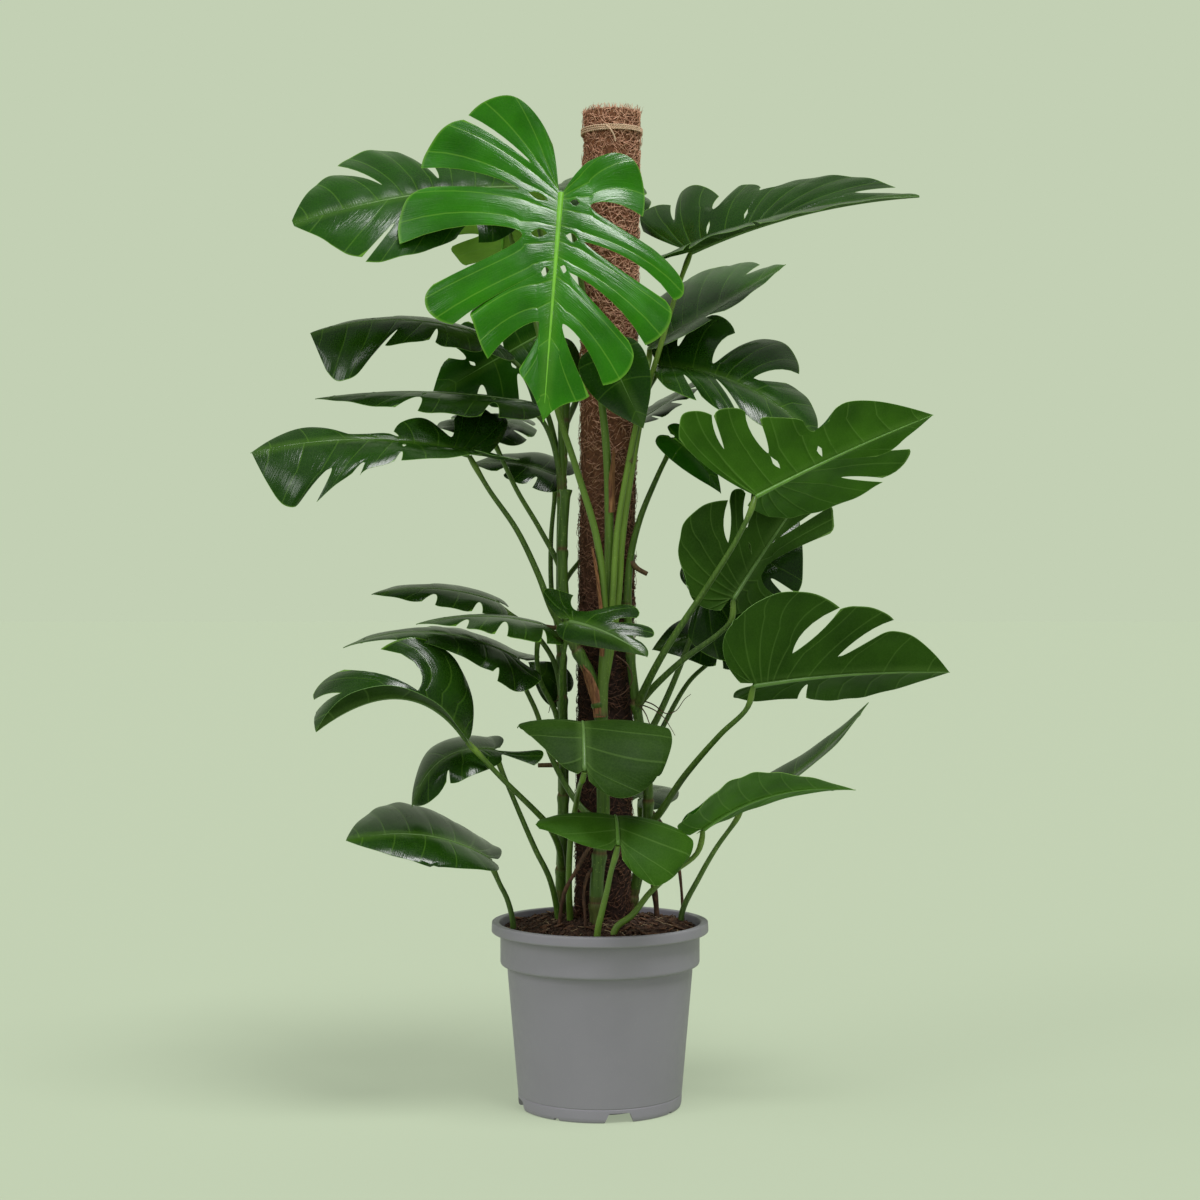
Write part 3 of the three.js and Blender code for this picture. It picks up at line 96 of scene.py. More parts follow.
def finished(material, inputs):
    shader = add_node(material.node_tree, "BsdfPrincipled", inputs)
    add_node(material.node_tree, "OutputMaterial", {"Surface": shader.outputs["BSDF"]})
    return material


print("node helper ready")

# %% [markdown]
# ## Helpers for objects and meshes
# Everything in the scene is an object that holds data, such as a lamp or a mesh. A mesh is a list
# of points and a list of faces. Each finished piece also needs its materials, numbers stored on
# its points for the shader to read, smooth shading with crisp edges, the solid that it stands for,
# and the body that it rides on. The plant is one body, called root.

# %% Adding an object, and making a piece


def new_object(name, data):
    made = bpy.data.objects.new(name, data)
    bpy.context.scene.collection.objects.link(made)
    return made


def plain_mesh(name, points, faces):
    mesh = bpy.data.meshes.new(name)
    mesh.from_pydata(np.asarray(points).tolist(), [], faces)
    return mesh


def make_piece(name, points, faces, materials, stands_for, finish, slots=None, numbers=None,
               crisp=45):
    mesh = plain_mesh(name, np.asarray(points) * MM, faces)
    for material in materials:
        mesh.materials.append(material)
    if slots is not None:
        mesh.polygons.foreach_set("material_index", np.asarray(slots, np.int32))
    for label, values in (numbers or {}).items():
        values = np.asarray(values, np.float32)
        kind, key = ("FLOAT_VECTOR", "vector") if values.ndim == 2 else ("FLOAT", "value")
        mesh.attributes.new(label, kind, "POINT").data.foreach_set(key, values.ravel())
    mesh.validate()
    mesh.shade_smooth()
    mesh.set_sharp_from_angle(angle=math.radians(crisp))
    piece = new_object(name, mesh)
    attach(piece, "root")
    if stands_for:
        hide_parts(*stands_for)
    triangles = sum(len(polygon.vertices) - 2 for polygon in mesh.polygons)
    print(f"{name}: {triangles} triangles")


print("piece helper ready")

# %% [markdown]
# ## Camera
# The photograph was taken from straight in front, level, at about half the plant's height, with a
# long lens from some 2.6 metres away. A wider lens from nearer would spread the leaves apart and
# show more of the soil. The plant's front faces -Y, so the camera looks along +Y.

# %% Place the camera
LENS = 63.8
DISTANCE = 2650
EYE_LEVEL = 628
camera_data = bpy.data.cameras.new("camera")
camera_data.lens = LENS
camera_data.sensor_width = 36
camera = new_object("camera", camera_data)
camera.location = (0, -DISTANCE * MM, EYE_LEVEL * MM)
camera.rotation_euler = (math.radians(90), 0, 0)
bpy.context.scene.camera = camera
print("camera", tuple(camera.location), "lens", camera_data.lens, "mm")

# %% [markdown]
# ## Studio light
# The light is soft and even: a big key light from high on the right, a weaker softbox on the
# left, and fills from three sides. Area lights would fall off with distance and leave the floor
# uneven, so the lights are suns with a wide disc. Glossy leaves mirror whatever is round them. So
# the walls in front are dim, or they would lay a grey veil over the dark greens. The paper behind
# the plant is bright, and gives the leaves that are seen from their edge a pale sheen. The camera
# itself sees that paper in its own plain colour. The fills stand for light from all over the room
# and aren't mirrored.

# %% Lights and surroundings
BACKDROP = "#c3d0b4"
WALL_LOW = 0.04
WALL_RISE = 0.14
PAPER_GLOW = 0.8
SUNS = {
    "key_light": {"strength": 2.2, "disc": 24, "from": (0.3, -0.42, 1.1), "mirrored": True},
    "left_softbox": {"strength": 0.36, "disc": 18, "from": (-0.75, -0.6, 0.85), "mirrored": True},
    "left_fill": {"strength": 0.95, "disc": 60, "from": (-1.0, -0.3, 0.6), "mirrored": False},
    "right_fill": {"strength": 0.6, "disc": 60, "from": (1.0, -0.45, 0.15), "mirrored": False},
    "front_fill": {"strength": 0.7, "disc": 70, "from": (-0.2, -1.0, 0.4), "mirrored": False},
}

for name, light in SUNS.items():
    sun = bpy.data.lights.new(name, "SUN")
    sun.energy = light["strength"]
    sun.angle = math.radians(light["disc"])
    lamp = new_object(name, sun)
    lamp.rotation_euler = Vector(light["from"]).to_track_quat("Z", "Y").to_euler()
    lamp.visible_glossy = light["mirrored"]

world = bpy.data.worlds.new("studio")
bpy.context.scene.world = world
world.use_nodes = True
world.node_tree.nodes.clear()
tree = world.node_tree
direction = add_node(tree, "SeparateXYZ", {
    "Vector": add_node(tree, "TexCoord").outputs["Generated"]})
brightness = add_node(tree, "MapRange", {
    "Value": direction.outputs["Z"], "To Min": WALL_LOW, "To Max": WALL_LOW + WALL_RISE})
walls = add_node(tree, "Background", {
    "Color": linear("#ffffff"), "Strength": brightness.outputs["Result"]})
paper = add_node(tree, "Background", {"Color": linear(BACKDROP), "Strength": PAPER_GLOW})
behind = add_node(tree, "MapRange", {
    "Value": direction.outputs["Y"], "From Min": 0.1, "From Max": 0.8},
    interpolation_type="SMOOTHSTEP")
room = add_node(tree, "MixShader", {
    0: behind.outputs["Result"], 1: walls.outputs["Background"], 2: paper.outputs["Background"]})
backdrop = add_node(tree, "Background", {"Color": linear(BACKDROP), "Strength": 1.0})
seen = add_node(tree, "MixShader", {
    0: add_node(tree, "LightPath").outputs["Is Camera Ray"],
    1: room.outputs["Shader"], 2: backdrop.outputs["Background"]})
add_node(tree, "OutputWorld", {"Surface": seen.outputs["Shader"]})
bpy.context.scene.view_settings.view_transform = "Standard"
print("lights:", len(SUNS))

# %% [markdown]
# ## Floor
# A plain pale floor runs on behind the plant until it meets the backdrop. The seam between them
# vanishes when both send the same light to the camera. Light on a level floor is the sum of the
# suns, each by the sine of its height, of the walls, and of the bright paper behind the plant,
# which fills about a fifth of what a level floor sees. The photograph's paper shows hardly any
# shadow, for it is lit by lamps of its own. So one part of the backdrop's colour is given off by
# the floor itself, and only the rest is what it sends back of the light that falls on it.

# %% Make the floor
FLOOR_GLOW = 0.5
FLOOR_REACH = 60
PAPER_SHARE = 0.23
paper_light = PAPER_GLOW * sum(linear(BACKDROP)[:3]) / 3
floor_light = (WALL_LOW + WALL_RISE * 2 / 3) * (1 - PAPER_SHARE) + paper_light * PAPER_SHARE
for light in SUNS.values():
    floor_light += light["strength"] / math.pi * Vector(light["from"]).normalized().z
floor_material, _ = new_material("matt_paper_backdrop")
floor_colour = [c * (1 - FLOOR_GLOW) / floor_light for c in linear(BACKDROP)[:3]] + [1.0]
finished(floor_material, {
    "Base Color": floor_colour, "Roughness": 1.0, "Specular IOR Level": 0.0,
    "Emission Color": linear(BACKDROP), "Emission Strength": FLOOR_GLOW})
floor_corners = [(-1, -1, 0), (1, -1, 0), (1, 1, 0), (-1, 1, 0)]
floor_mesh = plain_mesh("floor", floor_corners, [(0, 1, 2, 3)])
floor_mesh.materials.append(floor_material)
floor = new_object("floor", floor_mesh)
floor.scale = (FLOOR_REACH, FLOOR_REACH, 1)
print("light on the floor:", round(floor_light, 2))

# %% [markdown]
# ## Tubes
# Stems, petioles, roots, twine and coir fibres are all round and long. A curve object with a
# bevel would do for one stem, but thousands of fibres are quicker as one mesh. So one function
# lays rings of points round many paths at once. Each ring is turned as little as possible from
# the one before, or a tube would twist at its bends. Paths with few points are first run through
# a smooth curve, at even steps. Rings that lie in a grid, as those of the pot do, are joined by
# walls in the same way.

# %% Paths and tubes


def mix(a, b, t):
    return a + (b - a) * t


def bump(x, centre, width):
    return np.exp(-((x - centre) / width) ** 2)


def smooth_path(corners, count):
    p = np.array(corners, float)
    p = np.vstack([2 * p[0] - p[1], p, 2 * p[-1] - p[-2]])
    samples = []
    for i in range(1, len(p) - 2):
        first, own, last = (
            max(np.linalg.norm(p[n + 1] - p[n]) ** 0.5, 1e-4) for n in (i - 1, i, i + 1))
        leave, arrive = (
            ((p[n] - p[n - 1]) / before - (p[n + 1] - p[n - 1]) / (before + after)
             + (p[n + 1] - p[n]) / after) * own
            for n, before, after in ((i, first, own), (i + 1, own, last)))
        t = np.linspace(0, 1, 24, endpoint=False)[:, None]
        samples.append((2 * t ** 3 - 3 * t ** 2 + 1) * p[i] + (t ** 3 - 2 * t ** 2 + t) * leave
                       + (3 * t ** 2 - 2 * t ** 3) * p[i + 1] + (t ** 3 - t ** 2) * arrive)
    dense = np.vstack(samples + [p[-2:-1]])
    travelled = np.append(0, np.cumsum(np.linalg.norm(np.diff(dense, axis=0), axis=1)))
    even = np.linspace(0, travelled[-1], count)
    return np.stack([np.interp(even, travelled, dense[:, c]) for c in range(3)], 1)


def path_length(path):
    return np.linalg.norm(np.diff(path, axis=0), axis=1).sum()


def unit(vectors):
    return vectors / np.maximum(np.linalg.norm(vectors, axis=-1, keepdims=True), 1e-9)


def tubes(paths, radii, sides):
    paths = np.asarray(paths, float)
    many, count = paths.shape[:2]
    along = unit(np.gradient(paths, axis=1))
    lean = np.where(np.abs(along[:, 0, 2:]) > 0.7, [[1.0, 0, 0]], [[0, 0, 1.0]])
    normal = np.empty_like(paths)
    for n in range(count):
        lean = unit(lean - (lean * along[:, n]).sum(-1, keepdims=True) * along[:, n])
        normal[:, n] = lean
    other = np.cross(along, normal)
    turn = 2 * np.pi * np.arange(sides) / sides
    radii = np.broadcast_to(np.asarray(radii, float).reshape(
        (*np.shape(radii), 1) if np.ndim(radii) == 2 else np.shape(radii)), (many, count, sides))
    rings = paths[:, :, None] + radii[..., None] * (
        np.cos(turn)[:, None] * normal[:, :, None] + np.sin(turn)[:, None] * other[:, :, None])
    first = (np.arange(many)[:, None, None] * count + np.arange(count - 1)[:, None]) * sides
    a, b = first + np.arange(sides), first + (np.arange(sides) + 1) % sides
    walls = np.stack([a, b, b + sides, a + sides], -1).reshape(-1, 4).tolist()
    starts = np.arange(many)[:, None] * count * sides + np.arange(sides)
    ends = starts + (count - 1) * sides
    return rings.reshape(-1, 3), walls + starts[:, ::-1].tolist() + ends.tolist()


def join_meshes(parts):
    points, faces, total = [], [], 0
    for part_points, part_faces in parts:
        points.append(part_points)
        faces += [[n + total for n in face] for face in part_faces]
        total += len(part_points)
    return np.vstack(points), faces


def ring_walls(index):
    beside = np.roll(index, -1, axis=1)
    return np.stack([index[:-1], beside[:-1], beside[1:], index[1:]], -1).reshape(-1, 4).tolist()


test_points, _ = tubes([[(0, 0, 0), (0, 0, 1)]], np.ones((1, 2)), 6)
print("a test tube has", len(test_points), "points")

# %% [markdown]
# ## The outline of a leaf
# A leaf of this plant starts as a whole heart and is cut between its side veins, almost to the
# midrib, as it grows. It could be cut from a flat heart with holes punched in it, but its finger
# shaped lobes follow the veins, so the blade is laid out the way it grows. Each half is a row of
# lobes, a lobe is a fan of veins from a stretch of the midrib to a curved end, and the veins of
# two lobes share a line up to where the cut begins. The belly of a cut is how much wider it is in
# its middle. These are the outlines of the solids, with lengths in millimetres along the midrib
# and across it.

# %% Half of a heart
ROOT_START = 0.36
WHOLE_AT_PETIOLE = 0.4
WHOLE_AT_TIP = 0.5
CUT_OPENING = 0.5


def heart_stations(length, width, basal):
    return [(-0.42 * basal, 0.08 * width), (-basal, 0.36 * width), (-0.74 * basal, 0.8 * width),
            (0.06 * length, width), (0.34 * length, 0.94 * width), (0.62 * length, 0.66 * width),
            (0.85 * length, 0.28 * width), (length, 0)]


def along_stations(stations, s):
    p = np.array(stations, float)
    p = np.vstack([2 * p[0] - p[1], p, 2 * p[-1] - p[-2]])
    spans = len(stations) - 1
    place = np.minimum(np.asarray(s, float) * spans, spans - 1e-9)
    i = np.floor(place).astype(int)
    t = (place - i)[:, None]
    p, q, r, w = (p[i + n] for n in range(4))
    return 0.5 * (2 * q + (r - p) * t + (2 * p - 5 * q + 4 * r - w) * t ** 2
                  + (3 * q - p - 3 * r + w) * t ** 3)


def heart_half(spec, length):
    cuts = spec.get("cuts", [])
    stations = heart_stations(length, spec["width"], spec["basal"])
    starts = [0] + [place + half for place, _, half in cuts]
    ends = [place - half for place, _, half in cuts] + [1]
    places = [0] + [place for place, _, _ in cuts] + [1]
    inner = [WHOLE_AT_PETIOLE] + [start for _, start, _ in cuts] + [WHOLE_AT_TIP]

    def root_of(s):
        return length * np.maximum(0, (s - ROOT_START) / (1 - ROOT_START)) ** 1.2

    return [{
        "root": lambda q, k=k: root_of(mix(places[k], places[k + 1], np.asarray(q))),
        "end": lambda q, k=k: along_stations(stations, mix(starts[k], ends[k], np.asarray(q))),
        "inner": (inner[k], inner[k + 1]), "opening": CUT_OPENING, "belly": [],
    } for k in range(len(starts))]


plain_heart = heart_half({"width": 80, "basal": 40}, 200)
print("the end of a heart:", plain_heart[0]["end"]([1.0])[0])

# %% Half of a leaf drawn lobe by lobe


def drawn_half(spec):
    length = spec["lobes"][-1][-2]
    roots = [0] + spec["roots"] + [1]
    inner = [WHOLE_AT_PETIOLE] + spec["inner"] + [WHOLE_AT_TIP]

    def curve_of(near, middle, far):
        def end(q):
            q = np.asarray(q, float)[:, None]
            return near * (2 * q - 1) * (q - 1) + middle * 4 * q * (1 - q) + far * q * (2 * q - 1)
        return end

    return [{
        "root": lambda q, k=k: length * mix(roots[k], roots[k + 1], np.asarray(q)),
        "end": curve_of(*np.array(lobe, float).reshape(3, 2)),
        "inner": (inner[k], inner[k + 1]), "opening": spec.get("opening", CUT_OPENING),
        "belly": spec.get("belly", []),
    } for k, lobe in enumerate(spec["lobes"])]


print("drawn outlines ready")

# %% The points of one lobe
RIB_HALF_WIDTH = 3
# Sharp corners beside a cut are rounded, most at the side towards the petiole
CORNER_ROUND = 5
CORNER_SHARE = 0.22
CORNER_MOST = 0.16
LEAST_CUT = 1.0
VEIN_BEND = 0.1


def lobe_points(half, k, q, rows):
    lobe = half[k]
    length = float(half[-1]["root"]([1.0])[0])
    q = np.asarray(q, float)

    def shift_at(edge, n):
        if n < 0 or n > len(half) - 2:
            return np.zeros(2)
        middle = 0.5 * (half[n]["end"]([1.0])[0] + half[n + 1]["end"]([0.0])[0])
        return lobe["end"]([edge])[0] - middle

    def belly_at(away, n):
        wide = lobe["belly"][n] if 0 <= n < len(lobe["belly"]) else 0
        return away * wide / max(np.hypot(*away), 1e-6)

    near, far = shift_at(0.0, k - 1), shift_at(1.0, k)
    shift = mix(near, far, q[:, None])
    belly = mix(belly_at(near, k - 1), belly_at(far, k), q[:, None])
    outer = lobe["end"](q) - shift
    root_x = lobe["root"](q)
    root = np.stack([root_x, RIB_HALF_WIDTH * np.maximum(0, 1 - root_x / length)], 1)
    reach = np.hypot(*(outer - root).T)
    inner = mix(*lobe["inner"], q)[:, None]
    pull = np.zeros(len(q))
    for size, place, strength in ((near, q, 1.0), (far, 1 - q, 0.6)):
        if np.hypot(*size) > LEAST_CUT:
            rounding = np.minimum(CORNER_MOST, strength * CORNER_ROUND / np.maximum(reach, 1))
            pull += rounding * np.maximum(0, 1 - place / CORNER_SHARE) ** 2
    t = np.where(rows <= 1, inner * rows, mix(inner, 1 - pull[:, None], rows - 1))
    cut = np.where(rows <= 1, 0, np.maximum(0, rows - 1) ** lobe["opening"]) + 0 * t
    knee = (root + outer) / 2
    knee[:, 0] -= VEIN_BEND * reach
    vein = (outer - root) / np.maximum(reach, 1e-6)[:, None]
    slide = (shift * vein).sum(1)[:, None] * (np.maximum(0, rows - 1) - cut)
    wide = 4 * np.maximum(0, rows - 1) * (2 - rows) + 0 * t
    t, cut, slide, wide = (a[..., None] for a in (t, cut, slide, wide))
    root, knee, outer, shift, vein, belly = (
        a[:, None] for a in (root, knee, outer, shift, vein, belly))
    flat = ((1 - t) ** 2 * root + 2 * t * (1 - t) * knee + t ** 2 * outer + shift * cut
            + vein * slide + belly * wide)
    return flat, t[..., 0], reach


print("lobe points ready")

# %% [markdown]
# ## Where a leaf lies
# Each leaf hangs from its petiole in its own way. Its midrib is an arc from base to tip, one
# direction is given for the way the upper side looks, and each half rises from the midrib by a
# fold and curls down towards its edge. Modelling every leaf by hand in space would take days, and
# these few angles are what was read off the photograph for each leaf.

# %% The blade in space


def blade_frame(leaf):
    base, tip = np.array(leaf["base"], float), np.array(leaf["tip"], float)
    length = np.linalg.norm(tip - base)
    chord = (tip - base) / length
    up = np.array(leaf["face"], float)
    up = unit(up - (up @ chord) * chord)
    knee = (base + tip) / 2 + 2 * leaf["arch"] * up

    def at(u):
        v = np.clip(u, 0, 1)[..., None]
        point = (1 - v) ** 2 * base + 2 * v * (1 - v) * knee + v ** 2 * tip
        along = unit(2 * (1 - v) * (knee - base) + 2 * v * (tip - knee))
        normal = unit(up - (along @ up)[..., None] * along)
        return point, along, normal, np.cross(normal, along)

    return length, at


def blade_points(leaf, flat, hand, relief):
    spec = leaf["right"] if hand > 0 else leaf["left"]
    length, at = blade_frame(leaf)
    x, y = flat[..., 0], flat[..., 1]
    point, along, normal, across = at(x / length)
    behind = np.minimum(x, 0)
    lift = math.radians(leaf["back"]) * np.minimum(1.4, -behind / spec["basal"])
    fold = np.radians(mix(*leaf["folds"][hand < 0], np.clip(x / length, 0, 1)))
    slope = fold - math.radians(leaf["curl"]) * 0.5 * np.minimum(y / spec["width"], 1.3)
    rise, run = np.sin(slope), np.cos(slope)
    sideways = hand * (y * run - relief * rise)
    upwards = y * rise + relief * run - behind * np.sin(lift)
    return (point + (behind * np.cos(lift))[..., None] * along
            + sideways[..., None] * across + upwards[..., None] * normal)


print("blade functions ready")

# %% [markdown]
# ## The leaves, one by one
# Thirty-four leaves are seen in the photograph. Right and left are the halves as seen on the
# upper side with the tip pointing down. Each fold is given in degrees at the base and at the tip,
# first for the right half. A leaf that is mostly in view has each lobe given as its
# near corner, the middle of its end and its far corner, each by its place along the midrib and
# its distance from it. Small and hidden leaves have a heart outline with a few cuts: where on the
# outline it is, where it begins on the way from midrib to edge, and half its width.

# %% Leaves at the top
few_cuts = [(0.42, 0.5, 0.016), (0.6, 0.42, 0.024), (0.76, 0.45, 0.024)]
two_cuts = [(0.5, 0.5, 0.02), (0.7, 0.45, 0.03)]
leaves = [
    dict(name="leaf_01_crown", base=(-46, -130, 1113), tip=(-65, -215, 832),
         face=(0.05, -0.93, 0.3), arch=8, folds=((4, 4), (4, 4)), curl=14, back=14,
         right=dict(width=151, basal=60, lobes=[
             (-43, 29, -50, 83, 22, 102), (63, 116, 101, 151, 127, 145),
             (130, 136, 159, 138, 190, 114), (188, 95, 220, 95, 246, 67),
             (262, 53, 272, 21, 294, 0)],
             roots=[0.05, 0.2, 0.34, 0.54], inner=[0.31, 0.21, 0.15, 0.21], belly=[3, 9, 7, 3]),
         left=dict(width=188, basal=110, lobes=[
             (-64, 14, -114, 63, -93, 120), (-89, 127, -65, 154, -25, 172),
             (0, 161, 27, 185, 81, 188), (134, 145, 165, 145, 184, 116),
             (166, 96, 184, 88, 225, 71), (236, 35, 256, 18, 294, 0)],
             roots=[0, 0.07, 0.2, 0.36, 0.55], inner=[0.29, 0.29, 0.24, 0.18, 0.24],
             belly=[0, 2, 3, 6, 2])),
    dict(name="leaf_02_upper_left", base=(-98, -40, 1135), tip=(-364, -128, 1074),
         face=(0.1, -0.75, 0.65), arch=14, folds=((4, 4), (4, 4)), curl=16, back=-5,
         right=dict(width=89, basal=30, lobes=[
             (-6, 24, 30, 72, 84, 88), (110, 78, 168, 89, 227, 85), (231, 79, 258, 42, 290, 0)],
             roots=[0.2, 0.45], inner=[0.7, 0.52]),
         left=dict(width=113, basal=41, lobes=[
             (-36, 30, -30, 76, 24, 76), (38, 73, 60, 84, 96, 79), (108, 76, 151, 113, 207, 97),
             (200, 72, 240, 64, 290, 0)],
             roots=[0.15, 0.35, 0.55], inner=[0.34, 0.28, 0.3])),
    dict(name="leaf_03_behind_crown", base=(-122, 60, 1126), tip=(-131, 108, 1014),
         face=(0.05, 0.93, 0.35), arch=8, folds=((8, 8), (8, 8)), curl=20, back=-10,
         right=dict(width=80, basal=80, cuts=few_cuts),
         left=dict(width=70, basal=80, cuts=few_cuts)),
    dict(name="leaf_04_behind_pole", base=(4, 92, 1143), tip=(-8, 240, 1204),
         face=(0, -0.53, 0.85), arch=10, folds=((14, 6), (14, 6)), curl=30, back=-10,
         right=dict(width=85, basal=50, cuts=two_cuts),
         left=dict(width=64, basal=36, cuts=two_cuts)),
    dict(name="leaf_05_upper_right", base=(111, -20, 1058), tip=(386, -80, 1115),
         face=(-0.2, -0.5, 0.85), arch=14, folds=((24, 12), (34, 28)), curl=10, back=10,
         right=dict(width=134, basal=57, lobes=[
             (-57, 72, -51, 111, -17, 115), (-8, 118, 14, 134, 46, 98), (69, 103, 82, 100, 99, 89),
             (108, 80, 190, 78, 264, 42), (252, 30, 272, 18, 292, 0)],
             roots=[0, 0.08, 0.24, 0.4], inner=[0.58, 0.59, 0.88, 0.71]),
         left=dict(width=95, basal=45, lobes=[
             (-30, 20, -45, 60, 10, 85), (16, 84, 60, 95, 98, 84), (104, 80, 190, 62, 292, 0)],
             roots=[0.1, 0.3], inner=[0.6, 0.6])),
]
print("leaves so far:", len(leaves))

# %% Leaves on the right
leaves += [
    dict(name="leaf_06_right_raised", base=(61, -25, 940), tip=(240, 100, 1062),
         face=(-0.3, -0.62, 0.72), arch=0, folds=((14, 0), (24, 12)), curl=6, back=5,
         right=dict(width=99, basal=20, lobes=[
             (4, 12, 60, 74, 160, 94), (160, 94, 198, 99, 224, 84), (224, 84, 244, 72, 252, 48),
             (236, 40, 246, 20, 248, 0)],
             roots=[0.2, 0.4, 0.6], inner=[1, 1, 0.63]),
         left=dict(width=34, basal=12, cuts=[(0.6, 0.5, 0.03)])),
    dict(name="leaf_07_right_arching", base=(71, -20, 917), tip=(262, -80, 822),
         face=(0.15, -0.45, 0.88), arch=24, folds=((30, 10), (10, 0)), curl=14, back=5,
         right=dict(width=129, basal=32, lobes=[
             (-23, 37, -32, 77, 3, 111), (16, 113, 34, 123, 58, 104), (75, 86, 110, 125, 151, 93),
             (150, 60, 190, 50, 221, 0)],
             roots=[0.1, 0.3, 0.5], inner=[0.32, 0.17, 0.24], belly=[0, 3, 6]),
         left=dict(width=77, basal=24, lobes=[
             (4, 14, 34, 64, 85, 73), (88, 62, 126, 77, 148, 70), (138, 50, 182, 44, 221, 0)],
             roots=[0.1, 0.3], inner=[0.46, 0.25])),
    dict(name="leaf_08_right_large", base=(184, -110, 751), tip=(412, -20, 857),
         face=(-0.25, 0.8, 0.5), arch=6, folds=((34, 20), (14, 10)), curl=10, back=10,
         right=dict(width=79, basal=20, lobes=[
             (-6, 14, 80, 84, 200, 79), (201, 72, 228, 60, 236, 38), (188, 26, 226, 20, 267, 0)],
             roots=[0.2, 0.4], inner=[0.64, 0.2], belly=[1, 3]),
         left=dict(width=136, basal=78, lobes=[
             (-78, 108, -65, 136, -34, 127), (-31, 126, -10, 123, 10, 113),
             (28, 96, 57, 81, 87, 67), (123, 54, 169, 58, 267, 0)],
             roots=[0.02, 0.2, 0.4], inner=[0.57, 0.39, 0.7], belly=[2, 5, 0])),
    dict(name="leaf_09_right_young", base=(92, 10, 831), tip=(152, 22, 762),
         face=(0.2, -0.8, 0.5), arch=8, folds=((10, 8), (10, 8)), curl=20, back=-10,
         right=dict(width=26, basal=16), left=dict(width=28, basal=16)),
    dict(name="leaf_10_right_middle", base=(161, -60, 628), tip=(279, 22, 793),
         face=(-0.25, 0.85, 0.35), arch=4, folds=((14, 10), (14, 10)), curl=16, back=0,
         right=dict(width=82, basal=24, lobes=[
             (-10, 16, 20, 40, 72, 80), (171, 66, 186, 56, 195, 40), (188, 30, 196, 18, 202, 0)],
             roots=[0.2, 0.45], inner=[0.25, 0.26]),
         left=dict(width=113, basal=37, lobes=[
             (-22, 6, -38, 36, -32, 65), (-32, 65, 20, 113, 90, 86), (93, 84, 108, 82, 115, 71),
             (122, 65, 158, 46, 202, 0)],
             roots=[0, 0.12, 0.3], inner=[1, 0.52, 0.5], belly=[0, 5, 2])),
    dict(name="leaf_11_right_behind", base=(133, 18, 647), tip=(255, 72, 731),
         face=(0.1, -0.9, 0.4), arch=8, folds=((8, 8), (8, 8)), curl=20, back=0,
         right=dict(width=42, basal=20, cuts=[(0.6, 0.5, 0.02)]),
         left=dict(width=112, basal=60, cuts=[(0.66, 0.5, 0.02)])),
    dict(name="leaf_12_small_behind_right", base=(156, 77, 577), tip=(66, 44, 565),
         face=(0, -0.75, 0.65), arch=10, folds=((8, 8), (8, 8)), curl=24, back=-10,
         right=dict(width=48, basal=30, cuts=[(0.5, 0.5, 0.03)]), left=dict(width=44, basal=30)),
    dict(name="leaf_13_right_lower", base=(182, -120, 526), tip=(421, -90, 541),
         face=(-0.1, 0.85, 0.5), arch=10, folds=((52, 36), (14, 8)), curl=10, back=5,
         right=dict(width=70, basal=20, lobes=[
             (-12, 14, 0, 58, 70, 68), (80, 68, 150, 66, 241, 0)],
             roots=[0.35], inner=[0.5]),
         left=dict(width=118, basal=37, lobes=[
             (-16, 6, -37, 50, -25, 89), (-25, 89, 37, 118, 105, 95), (108, 94, 139, 90, 171, 76),
             (155, 55, 193, 50, 241, 0)],
             roots=[0, 0.12, 0.34], inner=[1, 0.34, 0.35], belly=[0, 8, 7])),
]
print("leaves so far:", len(leaves))

